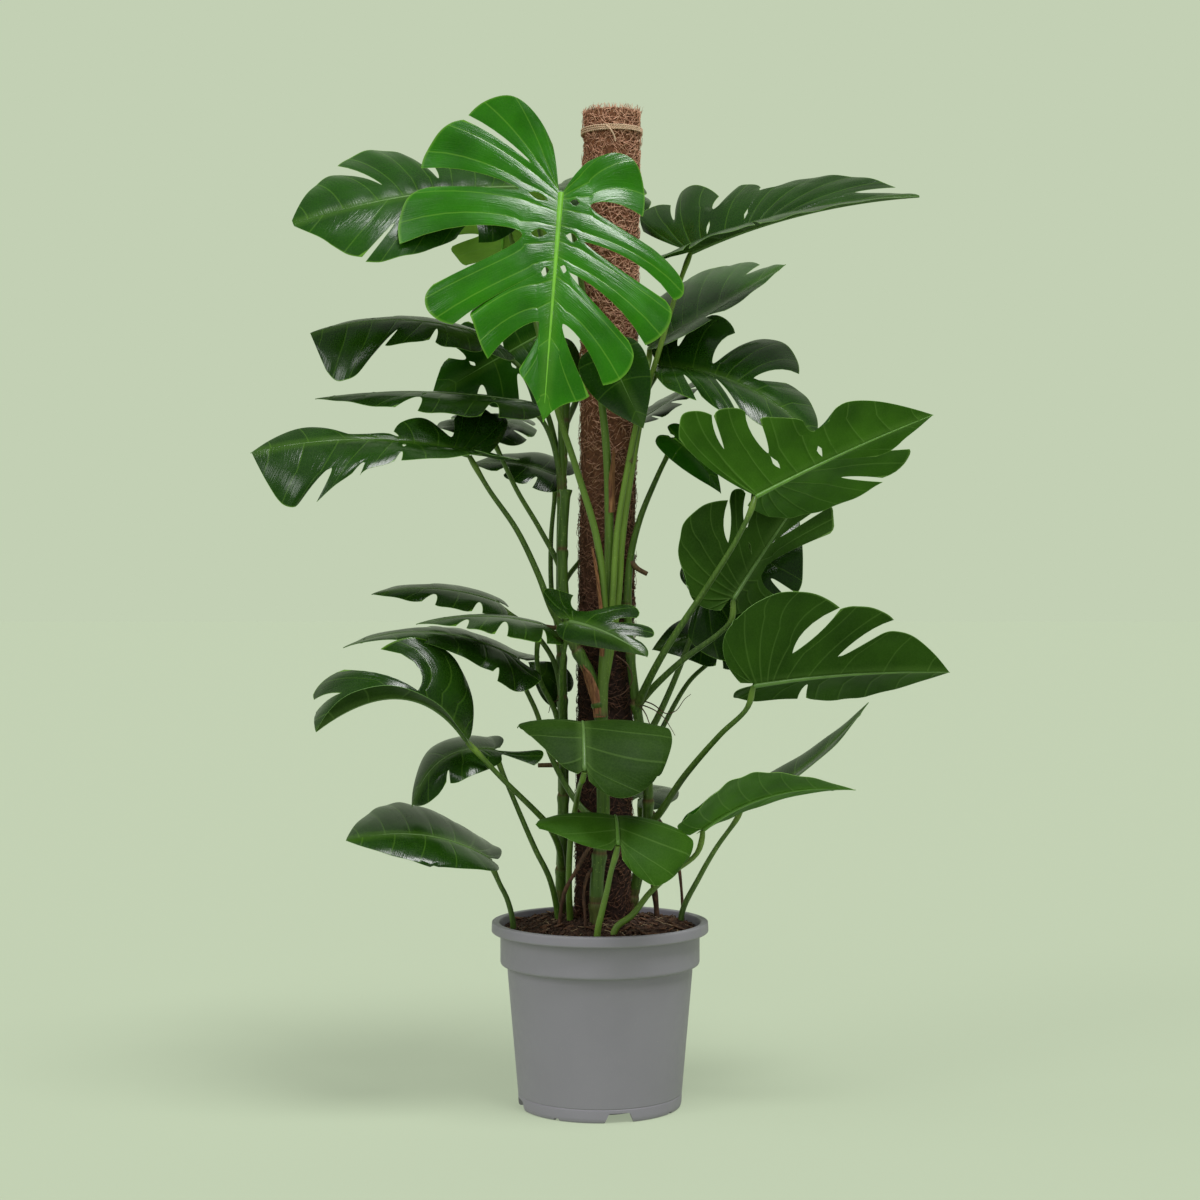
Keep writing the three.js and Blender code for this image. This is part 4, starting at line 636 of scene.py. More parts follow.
# %% Leaves low down
leaves += [
    dict(name="leaf_14_right_narrow", base=(181, 60, 367), tip=(344, 75, 497),
         face=(-0.3, -0.15, 0.9), arch=-14, folds=((20, 10), (20, 10)), curl=10, back=0,
         right=dict(width=45, basal=24), left=dict(width=30, basal=10)),
    dict(name="leaf_15_right_low", base=(124, -60, 348), tip=(315, -30, 394),
         face=(-0.1, 0.75, 0.66), arch=26, folds=((35, 35), (-10, -24)), curl=0, back=10,
         right=dict(width=44, basal=12, lobes=[
             (-4, 10, 70, 52, 197, 0)],
             roots=[], inner=[]),
         left=dict(width=76, basal=22, lobes=[
             (-20, 6, -40, 38, -30, 62), (-30, 62, 70, 84, 197, 0)],
             roots=[0], inner=[1])),
    dict(name="leaf_16_front_upper", base=(-18, -190, 430), tip=(-24, -62, 436),
         face=(0, 0.1, 0.99), arch=50, folds=((12, 4), (8, 4)), curl=10, back=0,
         right=dict(width=76, basal=10, lobes=[
             (-4, 8, 16, 46, 52, 76), (52, 76, 100, 62, 128, 0)],
             roots=[0.3], inner=[1]),
         left=dict(width=98, basal=28, lobes=[
             (-12, 5, -34, 44, -6, 84), (-6, 84, 60, 96, 128, 0)],
             roots=[0.06], inner=[1])),
    dict(name="leaf_17_front_lower", base=(21, -170, 342), tip=(12, -70, 338),
         face=(0.05, 0.05, 0.99), arch=31, folds=((12, 2), (0, 4)), curl=16, back=-6,
         right=dict(width=96, basal=10, lobes=[
             (-8, 8, -2, 48, 22, 96), (22, 96, 62, 66, 100, 0)],
             roots=[0.2], inner=[1]),
         left=dict(width=84, basal=34, lobes=[
             (-18, 5, -44, 44, -10, 80), (-10, 80, 44, 86, 100, 0)],
             roots=[0.06], inner=[1])),
    dict(name="leaf_18_left_low", base=(-133, -60, 312), tip=(-301, -130, 343),
         face=(0.25, -0.45, 0.84), arch=22, folds=((16, -8), (0, -6)), curl=10, back=10,
         right=dict(width=60, basal=20, lobes=[
             (-8, 8, 20, 42, 90, 53), (90, 53, 140, 34, 185, 0)],
             roots=[0.4], inner=[1]),
         left=dict(width=82, basal=24, lobes=[
             (-16, 12, -26, 54, 30, 70), (30, 70, 120, 92, 185, 0)],
             roots=[0.2], inner=[1])),
]
print("leaves so far:", len(leaves))

# %% Leaves on the left
leaves += [
    dict(name="leaf_19_left_long", base=(-101, -40, 557), tip=(-313, -60, 570),
         face=(0.05, -0.26, 0.96), arch=26, folds=((-12, 8), (0, 0)), curl=10, back=20,
         right=dict(width=62, basal=24, lobes=[
             (-12, 10, -34, 48, 18, 66), (26, 54, 110, 36, 213, 0)],
             roots=[0.12], inner=[0.7]),
         left=dict(width=72, basal=30, cuts=two_cuts)),
    dict(name="leaf_20_left_raised_lobe", base=(-159, -95, 459), tip=(-334, -150, 473),
         face=(0.2, -0.5, 0.84), arch=56, folds=((10, 105), (46, 4)), curl=10, back=5,
         right=dict(width=54, basal=16, lobes=[
             (-8, 10, 90, 36, 184, 0)],
             roots=[], inner=[]),
         left=dict(width=118, basal=24, opening=1, lobes=[
             (2, 14, 46, 84, 108, 82), (150, 80, 174, 84, 188, 76), (184, 52, 192, 26, 184, 0)],
             roots=[0.36, 0.7], inner=[0.14, 0.5], belly=[13, 0])),
    dict(name="leaf_21_left_hanging", base=(-128, -45, 445), tip=(-228, -75, 377),
         face=(-0.3, -0.4, 0.85), arch=30, folds=((-10, -10), (10, 0)), curl=20, back=20,
         right=dict(width=48, basal=50, lobes=[
             (-22, 4, -56, 22, -42, 40), (-4, 26, 40, 44, 80, 36), (84, 32, 112, 24, 122, 0)],
             roots=[0.05, 0.4], inner=[0.3, 0.6]),
         left=dict(width=66, basal=20)),
    dict(name="leaf_22_left_level", base=(-129, -8, 626), tip=(-280, -44, 635),
         face=(0, -0.28, 0.96), arch=12, folds=((4, -20), (4, 0)), curl=16, back=-10,
         right=dict(width=48, basal=12, cuts=two_cuts),
         left=dict(width=62, basal=24, cuts=two_cuts)),
    dict(name="leaf_23_left_level_front", base=(-71, -61, 598), tip=(-221, -96, 599),
         face=(0, -0.2, 0.98), arch=10, folds=((4, 0), (4, 0)), curl=16, back=-10,
         right=dict(width=66, basal=24, cuts=few_cuts),
         left=dict(width=34, basal=10, cuts=two_cuts)),
    dict(name="leaf_24_front_middle", base=(-38, -110, 603), tip=(56, -150, 561),
         face=(0.3, -0.8, 0.5), arch=10, folds=((10, 6), (-30, -40)), curl=16, back=10,
         right=dict(width=54, basal=62, lobes=[
             (-14, 2, -60, 36, -22, 48), (40, 50, 60, 58, 72, 46), (86, 42, 99, 36, 98, 24),
             (86, 14, 104, 9, 110, 0)],
             roots=[0.06, 0.36, 0.6], inner=[0.3, 0.36, 0.42]),
         left=dict(width=24, basal=12)),
    dict(name="leaf_25_left_large", base=(-158, -70, 804), tip=(-411, -150, 801),
         face=(0.1, -0.6, 0.8), arch=20, folds=((44, -25), (20, 0)), curl=6, back=10,
         right=dict(width=90, basal=45, lobes=[
             (-30, 16, -42, 50, 0, 66), (8, 66, 50, 72, 100, 58), (108, 58, 134, 62, 150, 70),
             (160, 66, 184, 78, 205, 90), (219, 76, 243, 74, 264, 0)],
             roots=[0.12, 0.32, 0.42, 0.54], inner=[0.6, 0.7, 0.76, 0.6]),
         left=dict(width=81, basal=52, lobes=[
             (-26, 8, -56, 58, -44, 86), (-40, 87, -12, 84, 14, 60), (30, 36, 62, 48, 96, 20),
             (102, 17, 128, 11, 154, 12), (154, 12, 205, 31, 264, 0)],
             roots=[0.02, 0.1, 0.32, 0.5], inner=[0.9, 0.4, 0.4, 1])),
    dict(name="leaf_26_left_grey", base=(-93, -20, 873), tip=(-347, -60, 873),
         face=(0, -0.2, 0.98), arch=10, folds=((4, -14), (4, 0)), curl=20, back=0,
         right=dict(width=70, basal=22, cuts=two_cuts),
         left=dict(width=44, basal=14, cuts=few_cuts)),
    dict(name="leaf_27_left_dark", base=(-140, -10, 837), tip=(-92, 126, 862),
         face=(0, -0.7, 0.7), arch=10, folds=((8, 0), (8, 0)), curl=20, back=0,
         right=dict(width=70, basal=26, cuts=two_cuts),
         left=dict(width=48, basal=20, cuts=two_cuts)),
    dict(name="leaf_28_left_dark_low", base=(-56, 48, 786), tip=(-166, 76, 802),
         face=(0.1, -0.5, 0.86), arch=10, folds=((8, 0), (8, 0)), curl=20, back=0,
         right=dict(width=44, basal=16, cuts=two_cuts), left=dict(width=60, basal=18)),
    dict(name="leaf_29_left_upper_long", base=(-142, 20, 958), tip=(-353, -60, 953),
         face=(-0.1, -0.5, 0.86), arch=20, folds=((0, -18), (0, -6)), curl=12, back=0,
         right=dict(width=86, basal=30, lobes=[
             (-20, 12, -30, 38, 10, 50), (16, 50, 52, 54, 80, 46), (88, 44, 122, 46, 146, 44),
             (152, 44, 214, 84, 226, 0)],
             roots=[0.12, 0.3, 0.46], inner=[0.5, 0.36, 0.5]),
         left=dict(width=44, basal=12, cuts=two_cuts)),
    dict(name="leaf_30_behind_left", base=(-75, 66, 967), tip=(-214, 48, 885),
         face=(0.2, -0.9, 0.3), arch=4, folds=((6, 4), (6, 4)), curl=10, back=0,
         right=dict(width=80, basal=30, cuts=few_cuts),
         left=dict(width=80, basal=50, cuts=few_cuts)),
]
print("leaves so far:", len(leaves))

# %% Small leaves behind
leaves += [
    dict(name="leaf_31_by_pole", base=(12, -92, 920), tip=(52, -98, 834),
         face=(0, -0.98, 0.1), arch=4, folds=((8, 4), (8, 4)), curl=10, back=0,
         right=dict(width=40, basal=16), left=dict(width=42, basal=18)),
    dict(name="leaf_32_behind_right", base=(51, 60, 857), tip=(148, 110, 924),
         face=(-0.2, -0.1, 0.97), arch=0, folds=((8, 4), (8, 4)), curl=16, back=0,
         right=dict(width=75, basal=24, cuts=few_cuts),
         left=dict(width=46, basal=14, cuts=few_cuts)),
    dict(name="leaf_33_behind_low", base=(51, 70, 375), tip=(97, 140, 380),
         face=(0, -0.3, 0.95), arch=6, folds=((8, 4), (8, 4)), curl=16, back=0,
         right=dict(width=40, basal=24), left=dict(width=40, basal=24)),
    dict(name="leaf_34_behind_stems", base=(-50, 30, 515), tip=(-90, 20, 550),
         face=(-0.3, -0.7, 0.6), arch=6, folds=((8, 4), (8, 4)), curl=16, back=0,
         right=dict(width=26, basal=14), left=dict(width=26, basal=14)),
]
print("leaves in all:", len(leaves))

# %% [markdown]
# ## Holes beside the midrib
# The name swiss cheese plant comes from the holes that open between two side veins and don't
# reach the edge. They could be cut with booleans, but each lies on the line that two lobes share,
# so the mesh is simply left open there. A hole is given by the half it is in, the line between
# lobes, where along the vein it starts and ends as shares of the blade that is still whole, and
# its half width in millimetres.

# %% Hole measures
holes = {
    "leaf_01_crown": [("right", 0, 0.3, 0.62, 5.0), ("right", 1, 0.3, 0.72, 6.0),
                      ("right", 2, 0.34, 0.74, 5.0), ("left", 1, 0.3, 0.7, 5.0),
                      ("left", 2, 0.3, 0.72, 6.0), ("left", 3, 0.3, 0.74, 6.0)],
    "leaf_08_right_large": [("left", 1, 0.42, 0.78, 3.4), ("left", 2, 0.2, 0.5, 3.6)],
    "leaf_26_left_grey": [("right", 0, 0.3, 0.66, 3.2), ("right", 1, 0.3, 0.66, 3.0)],
    "leaf_30_behind_left": [("right", 1, 0.35, 0.75, 3.6), ("left", 1, 0.35, 0.75, 3.6),
                            ("left", 2, 0.3, 0.66, 2.6)],
    "leaf_25_left_large": [("right", 1, 0.3, 0.6, 2.4)],
    "leaf_05_upper_right": [("right", 1, 0.3, 0.6, 2.0), ("right", 2, 0.3, 0.5, 2.2)],
    "leaf_07_right_arching": [("left", 1, 0.3, 0.65, 2.0)],
    "leaf_10_right_middle": [("left", 2, 0.35, 0.62, 2.2), ("right", 1, 0.3, 0.6, 2.0)],
    "leaf_02_upper_left": [("right", 0, 0.3, 0.5, 2.2)],
}
print("holes:", sum(len(each) for each in holes.values()))

# %% [markdown]
# ## The relief of a blade
# A real blade isn't flat. It swells a little between its side veins, which lie in shallow grooves
# above and stand out as ribs below, the fingers droop beside their cuts, and the edge waves. This
# could be painted on with a bump map, but gloss shows up each real curve of a leaf, so the points
# are moved. Columns of points lie closer together near each vein, where the groove is. Rows are
# counted from 0 at the midrib to 1 where the cut begins and 2 at the edge. Two lobes share the
# points on their line up to the cut, but not beside a hole.

# %% Blade settings
VEIN_SPACING = 40
CELL_STOPS = np.array([0, 0.1, 0.22, 0.34, 0.43, 0.475, 0.5, 0.525, 0.57, 0.66, 0.78, 0.9])
WHOLE_ROWS = np.linspace(0, 1, 9)
CUT_ROWS = 1 + np.linspace(0, 1, 10)[1:] ** 2
ROWS = np.append(WHOLE_ROWS, CUT_ROWS)
FULL_REACH = 70
SWELL = 0.9
DROOP = 3.5
END_DROOP = 7.0
EDGE_WAVE = 1.6
SAME_PLACE = 1e-6
HALF_THICKNESS = 0.42
EDGE_HALF_THICKNESS = 0.2
VEIN_RIDGE = 0.7
RIDGE_WIDTH = 1.5
RIDGE_LENGTH = 130
RIB_RADIUS = 2.7
CROWN_RIB_RADIUS = 4.6
CROWN = "leaf_01_crown"
TURNED_OVER = ("leaf_16_front_upper", "leaf_17_front_lower")
print("rows from midrib to edge:", len(ROWS))

# %% Relief, holes and shared points of a lobe


def lobe_relief(q, cells, t, reach, split, luck):
    from_vein = np.abs(2 * ((q * cells) % 1) - 1)[:, None]
    from_vein[-1] = 1
    size = np.minimum(1, reach / FULL_REACH)[:, None]
    swell = SWELL * np.sin(np.pi / 2 * from_vein) ** 0.8
    swell = swell * np.clip(t / 0.15, 0, 1) * (1 - 0.6 * t ** 2)
    cut = np.maximum(0, ROWS - 1) if split else t ** 2
    droop = DROOP * (2 * q[:, None] - 1) ** 2 * cut if split else 0
    wave = EDGE_WAVE * cut * np.sin(2 * np.pi * (0.8 * cells * q[:, None] + luck[0])) * luck[1]
    return size * (swell - droop + wave) - END_DROOP * size ** 2 * t ** 3


def open_holes(flat, q, k, gaps):
    for n, towards, place in ((k - 1, 1, q), (k, -1, 1 - q)):
        if n in gaps:
            start, stop, width = gaps[n]
            inside = np.clip((ROWS - start) / (stop - start), 0, 1)
            widen = width * np.sin(np.pi * inside) ** 0.6 * (ROWS < 1)
            flat[..., 0] += towards * widen * (np.maximum(0, 1 - place * 2) ** 2)[:, None]


def point_numbers(flat, root_x, total, before, gap):
    index = total + np.arange(flat[..., 0].size).reshape(flat.shape[:2])
    if before is not None:
        shared = ROWS <= 1
        if gap:
            shared &= (ROWS <= gap[0]) | (ROWS >= gap[1])
        index[0, shared] = before[shared]
    for j in range(len(index)):
        if j and root_x[j] - root_x[j - 1] < SAME_PLACE:
            index[j, 0] = index[j - 1, 0]
        for i in range(1, len(ROWS)):
            if np.abs(flat[j, i] - flat[j, i - 1]).max() < SAME_PLACE:
                index[j, i] = index[j, i - 1]
    return index


print("relief and holes ready")

# %% Half of a blade as a grid of points for each lobe


def half_blade(leaf, hand, chance):
    side = "right" if hand > 0 else "left"
    spec = leaf[side]
    length, _ = blade_frame(leaf)
    half = drawn_half(spec) if "lobes" in spec else heart_half(spec, length)
    gaps = {n: rest for where, n, *rest in holes.get(leaf["name"], []) if where == side}
    points, marks, faces, rib = [], [], [], []
    total, before = 0, None
    for k, lobe in enumerate(half):
        end = lobe["end"](np.linspace(0, 1, 20))
        cells = max(1, round(np.linalg.norm(np.diff(end, axis=0), axis=1).sum() / VEIN_SPACING))
        q = np.append(((np.arange(cells)[:, None] + CELL_STOPS) / cells).ravel(), 1)
        flat, t, reach = lobe_points(half, k, q, ROWS)
        open_holes(flat, q, k, gaps)
        middles = (np.minimum(np.floor(q * cells), cells - 1) + 0.5) / cells
        vein_flat, _, _ = lobe_points(half, k, middles, ROWS)
        relief = lobe_relief(q, cells, t, reach, len(half) > 1, chance.uniform([0, 0.3], [1, 1]))
        across = np.hypot(*np.moveaxis(flat - vein_flat, -1, 0))
        root_x = lobe["root"](q)
        index = point_numbers(flat, root_x, total, before, gaps.get(k - 1))
        before = index[-1]
        total += flat[..., 0].size
        points.append(blade_points(leaf, flat, hand, relief).reshape(-1, 3))
        marks.append(np.stack([t * reach[:, None], across, flat[..., 1]], -1).reshape(-1, 3))
        a, b, c, d = index[:-1, :-1], index[1:, :-1], index[1:, 1:], index[:-1, 1:]
        for triangle in ((a, b, c), (a, c, d)):
            faces.append(np.stack(triangle, -1).reshape(-1, 3))
        rib += [(float(x), int(n)) for x, n in zip(root_x, index[:, 0])]
    faces = np.vstack(faces)
    whole = (faces != np.roll(faces, 1, axis=1)).all(axis=1)
    faces = faces[whole] if hand > 0 else faces[whole][:, ::-1]
    return np.vstack(points), np.vstack(marks), faces, rib


print("blade grid ready")

# %% [markdown]
# ## From sheet to leaf
# The two halves are joined by a narrow strip along the midrib, and the sheet is given its
# thickness, thinner at the edge. The midrib itself is a tapering rod that is let into the blade,
# mostly below it. A leaf has four finishes: the glossy upper side, the dull under side, the pale
# edge and the midrib. Two leaves hang with their under side to the front, and are made turned over.

# %% One sheet for both halves


def rib_strip(right, left, faces):
    i, j = 0, 0
    while i < len(right) - 1 or j < len(left) - 1:
        if j == len(left) - 1 or (i < len(right) - 1 and right[i + 1][0] <= left[j + 1][0]):
            face = (left[j][1], right[i + 1][1], right[i][1])
            i += 1
        else:
            face = (left[j][1], left[j + 1][1], right[i][1])
            j += 1
        if len(set(face)) == 3:
            faces.append(face)


def blade_sheet(leaf, chance):
    points, marks, faces, rib = half_blade(leaf, 1, chance)
    more_points, more_marks, more_faces, other_rib = half_blade(leaf, -1, chance)
    strip = []
    rib_strip(rib, [(x, n + len(points)) for x, n in other_rib], strip)
    faces = np.vstack([faces, more_faces + len(points), strip])
    points, marks = np.vstack([points, more_points]), np.vstack([marks, more_marks])
    used, faces = np.unique(faces, return_inverse=True)
    return points[used], marks[used], faces.reshape(-1, 3)


def edge_of(faces):
    pairs = np.vstack([faces[:, [0, 1]], faces[:, [1, 2]], faces[:, [2, 0]]])
    known = {tuple(pair) for pair in pairs.tolist()}
    return np.array([pair for pair in known if (pair[1], pair[0]) not in known])


def sheet_normals(points, faces):
    normals = np.zeros_like(points)
    corners = points[faces]
    slopes = np.cross(corners[:, 1] - corners[:, 0], corners[:, 2] - corners[:, 0])
    for n in range(3):
        np.add.at(normals, faces[:, n], slopes)
    return unit(normals)


print("sheet helpers ready")

# %% Thickness, edge and midrib


def midrib_rod(leaf, turned):
    length, at = blade_frame(leaf)
    u = np.concatenate([[0, 0.003, 0.008, 0.015], np.linspace(0.03, 1, 26)])
    middle, _, normal, _ = at(u)
    widest = CROWN_RIB_RADIUS if leaf["name"] == CROWN else RIB_RADIUS
    radius = widest * min(1, length / 160 + 0.3) * (1 - 0.9 * u ** 0.8) + 0.25
    rounded = np.clip(u * length / radius, 0, 1)
    radius *= 0.25 + 0.75 * np.sqrt(rounded * (2 - rounded))
    sink = (0.5 if turned else -0.5) * radius
    return tubes([middle + normal * sink[:, None]], [radius], 10)


def leaf_mesh(leaf, chance):
    points, marks, faces = blade_sheet(leaf, chance)
    normals = sheet_normals(points, faces)
    count = len(points)
    edge = edge_of(faces)
    half, rim = np.full(count, HALF_THICKNESS), np.zeros(count)
    half[edge.ravel()] = EDGE_HALF_THICKNESS
    rim[edge.ravel()] = 1
    ridge = VEIN_RIDGE * bump(marks[:, 1], 0, RIDGE_WIDTH)
    ridge *= np.clip(1.1 - marks[:, 0] / RIDGE_LENGTH, 0.1, 1) * (1 - rim)
    turned = leaf["name"] in TURNED_OVER
    above = points + normals * (half + ridge * turned)[:, None]
    below = points - normals * (half + ridge * (not turned))[:, None]
    rib_points, rib_faces = midrib_rod(leaf, turned)
    edge_faces = [(b, a, a + count, b + count) for a, b in edge.tolist()]
    all_faces = faces.tolist() + (faces[:, ::-1] + count).tolist() + edge_faces
    all_faces += [[n + 2 * count for n in face] for face in rib_faces]
    order = [1, 0, 2, 3] if turned else [0, 1, 2, 3]
    slots = np.repeat(order, [len(faces), len(faces), len(edge_faces), len(rib_faces)])
    return (np.vstack([above, below, rib_points]), all_faces, slots,
            np.vstack([marks, marks, np.zeros((len(rib_points), 3))]),
            np.concatenate([rim, rim, np.zeros(len(rib_points))]))


print("leaf mesh ready")

# %% [markdown]
# ## Leaf finishes
# A leaf blade is living green tissue under a waxy cuticle. The cuticle is a clear film with an
# index of refraction near 1.48 that mirrors the studio lights softly, and the green below shows
# broad paler and darker patches, thin pale lines over the side veins and a net of fine veins some
# 4 mm apart. Fine ripples run along the veins and break the gloss into streaks. The under side
# has no shine to speak of and is paler and greyer. One finish per side serves all the leaves: a
# number on each leaf, its shade, says how young and bright it is, and a number over 1 paints in
# the light that comes through a thin leaf as a paler yellow-green. Colours are laid one over the
# other, each where a number or a pattern says how much.

# %% Patches and layers of colour


def patches(tree, size_mm, detail, low, high):
    place = add_node(tree, "TexCoord").outputs["Object"]
    noise = add_node(tree, "TexNoise", {
        "Vector": place, "Scale": 1 / (size_mm * MM), "Detail": detail})
    return add_node(tree, "MapRange", {
        "Value": noise.outputs["Fac"], "From Min": 0.3, "From Max": 0.7,
        "To Min": low, "To Max": high}).outputs["Result"]


def layered(tree, lowest, *layers):
    colour = linear(lowest)
    for share, over, *blend in layers:
        over = linear(over) if isinstance(over, str) else over
        node = add_node(tree, "Mix", {0: share, 6: colour, 7: over}, data_type="RGBA",
                        blend_type=blend[0] if blend else "MIX")
        colour = node.outputs[2]
    return colour


print("colour helpers ready")

# %% The two sides of a blade
NET_SPACING = 4.0
# The ripples are some 30 mm long and 2 mm wide
RIPPLES = (0.03, 0.45, 0.01)


def vein_shares(tree, shade, marks):
    parted = add_node(tree, "SeparateXYZ", {0: marks})
    near_rib = add_node(tree, "MapRange", {
        "Value": parted.outputs["Z"], "From Min": 2.0, "From Max": 12.0, "To Min": 0.1,
        "To Max": 0.0}, interpolation_type="SMOOTHSTEP").outputs["Result"]
    most = add_node(tree, "MapRange", {"Value": shade, "To Min": 0.1, "To Max": 0.26})
    side_vein = add_node(tree, "MapRange", {
        "Value": parted.outputs["Y"], "From Min": 0.3, "From Max": 1.3,
        "To Min": most.outputs["Result"], "To Max": 0.0},
        interpolation_type="SMOOTHSTEP").outputs["Result"]
    # The pale line at the blade's edge is partly the edge tissue's colour and partly a painted
    # highlight
    edge = add_node(tree, "Attribute", attribute_name="rim").outputs["Fac"]
    rim = add_node(tree, "MapRange", {
        "Value": edge, "From Min": 0.85, "From Max": 1.0, "To Max": 0.45}).outputs["Result"]
    return near_rib, side_vein, rim


def blade_finish(name, old, young, vein, gloss, shine, net_depth):
    material, tree = new_material(name)
    shade = add_node(tree, "Attribute", attribute_name="shade").outputs["Fac"]
    # A shade over 1 paints in the light that comes through a thin leaf, as a paler yellow-green
    painted_light_through = add_node(tree, "MapRange", {
        "Value": shade, "From Min": 1.0, "From Max": 2.0}).outputs["Result"]
    marks = add_node(tree, "Attribute", attribute_name="vein_marks").outputs["Vector"]
    near_rib, side_vein, rim = vein_shares(tree, shade, marks)
    place = add_node(tree, "TexCoord").outputs["Object"]
    net = add_node(tree, "TexVoronoi", {
        "Vector": place, "Scale": 1 / (NET_SPACING * MM)}, feature="DISTANCE_TO_EDGE")
    between = add_node(tree, "MapRange", {
        "Value": net.outputs["Distance"], "From Min": 0.0, "From Max": 0.12}).outputs["Result"]
    net_line = add_node(tree, "MapRange", {
        "Value": between, "To Min": 0.03, "To Max": 0.0}).outputs["Result"]
    green = layered(tree, old, (shade, young), (painted_light_through, "#a4d45a"),
                    (patches(tree, 60, 3.0, 0.0, 0.7), "#94a884", "MULTIPLY"),
                    (near_rib, vein), (side_vein, vein), (rim, vein), (net_line, vein))
    along_veins = add_node(tree, "Mapping", {"Vector": marks, "Scale": RIPPLES})
    streaks = add_node(tree, "TexNoise", {
        "Vector": along_veins.outputs["Vector"], "Scale": 1.0, "Detail": 3.0})
    net_bump = add_node(tree, "Bump", {
        "Height": between, "Strength": net_depth, "Distance": 0.3 * MM})
    fine_bump = add_node(tree, "Bump", {
        "Height": streaks.outputs["Fac"], "Strength": 0.55, "Distance": 0.7 * MM,
        "Normal": net_bump.outputs["Normal"]})
    return finished(material, {
        "Base Color": green, "IOR": 1.48, "Specular IOR Level": shine,
        "Roughness": patches(tree, 25, 4.0, gloss - 0.05, gloss + 0.08),
        "Normal": fine_bump.outputs["Normal"]})


upper_side = blade_finish("waxy_leaf_upper_side", "#1a3607", "#2c7406", "#7fb43c", 0.21, 0.5, 0.04)
under_side = blade_finish("dull_leaf_under_side", "#203809", "#5a9a20", "#86ae58", 0.55, 0.1, 0.12)
print("blade finishes:", upper_side.name, under_side.name)

# %% [markdown]
# ## Edge and midrib finishes
# The edge of a blade is a thin rim of clear, thick-walled tissue. Its pale line is partly that
# tissue's own colour and partly a painted highlight for the light that the rim catches. The midrib
# is the petiole carried on through the leaf: smooth, juicy green tissue, lighter than the blade in
# young leaves, with faint streaks along it.

# %% The pale edge and the midrib


def juicy_finish(name, old, young, gloss):
    material, tree = new_material(name)
    shade = add_node(tree, "Attribute", attribute_name="shade").outputs["Fac"]
    green = layered(tree, old, (shade, young), (patches(tree, 14, 4.0, 0.0, 0.25), "#1e3a12"))
    return finished(material, {
        "Base Color": green, "IOR": 1.45, "Roughness": patches(tree, 6, 3.0, gloss, gloss + 0.12)})


# The pale edge green is partly the edge tissue's own colour and partly a painted highlight
pale_edge = juicy_finish("clear_leaf_edge", "#6d9650", "#a4d45a", 0.4)
midrib = juicy_finish("juicy_midrib", "#56733a", "#72b82a", 0.35)
print("edge and midrib finishes:", pale_edge.name, midrib.name)

# %% [markdown]
# ## Shades
# Old leaves of this plant are very dark and the newest one is bright, so each leaf could have a
# green of its own. One number between the old green and the young one does the same. A leaf whose
# shade isn't named is an old one. The thin leaf behind the crown has a number over 1, which paints
# the light that comes through it into its green. Part of the brightness in the number of leaf_08,
# whose under side is seen, is painted light that comes through it too.

# %% Make the leaves
# leaf_03's number over 1 paints in light through the leaf, and part of leaf_08's is painted light
# too
shades = {
    "leaf_01_crown": 1.0, "leaf_03_behind_crown": 1.85, "leaf_09_right_young": 0.7,
    "leaf_02_upper_left": 0.3, "leaf_05_upper_right": 0.12, "leaf_08_right_large": 0.42,
    "leaf_06_right_raised": 0.35, "leaf_07_right_arching": 0.15, "leaf_10_right_middle": 0.14,
    "leaf_13_right_lower": 0.16, "leaf_25_left_large": 0.12, "leaf_30_behind_left": 0.3,
    "leaf_15_right_low": 0.45, "leaf_16_front_upper": 0.05, "leaf_17_front_lower": 0.26,
    "leaf_18_left_low": 0.1, "leaf_31_by_pole": 0.15,
}
OLD_SHADE = 0.05
leaf_finishes = [upper_side, under_side, pale_edge, midrib]

for number, leaf in enumerate(leaves):
    name = leaf["name"]
    points, faces, slots, marks, rim = leaf_mesh(leaf, np.random.default_rng(100 + number))
    shade = np.full(len(points), shades.get(name, OLD_SHADE))
    make_piece(name + "_blade", points, faces, leaf_finishes, [name],
               "young_leaf" if name == CROWN else "leaf", slots,
               {"vein_marks": marks, "rim": rim, "shade": shade})

# %% [markdown]
# ## Stems and petioles
# Three stems climb beside the pole. A stem of this plant is as thick as a thumb and ringed where
# old leaves sat, and each leaf's petiole leaves it from a clasping foot and ends in a thick,
# paler knee just under the blade. Plain tubes would look like wire, so the tubes' width follows
# those rings, feet and knees. The routes are those of the solids. A petiole is listed with the
# stem that it grows from and the leaf that it carries, and one without a leaf is a cut stub.

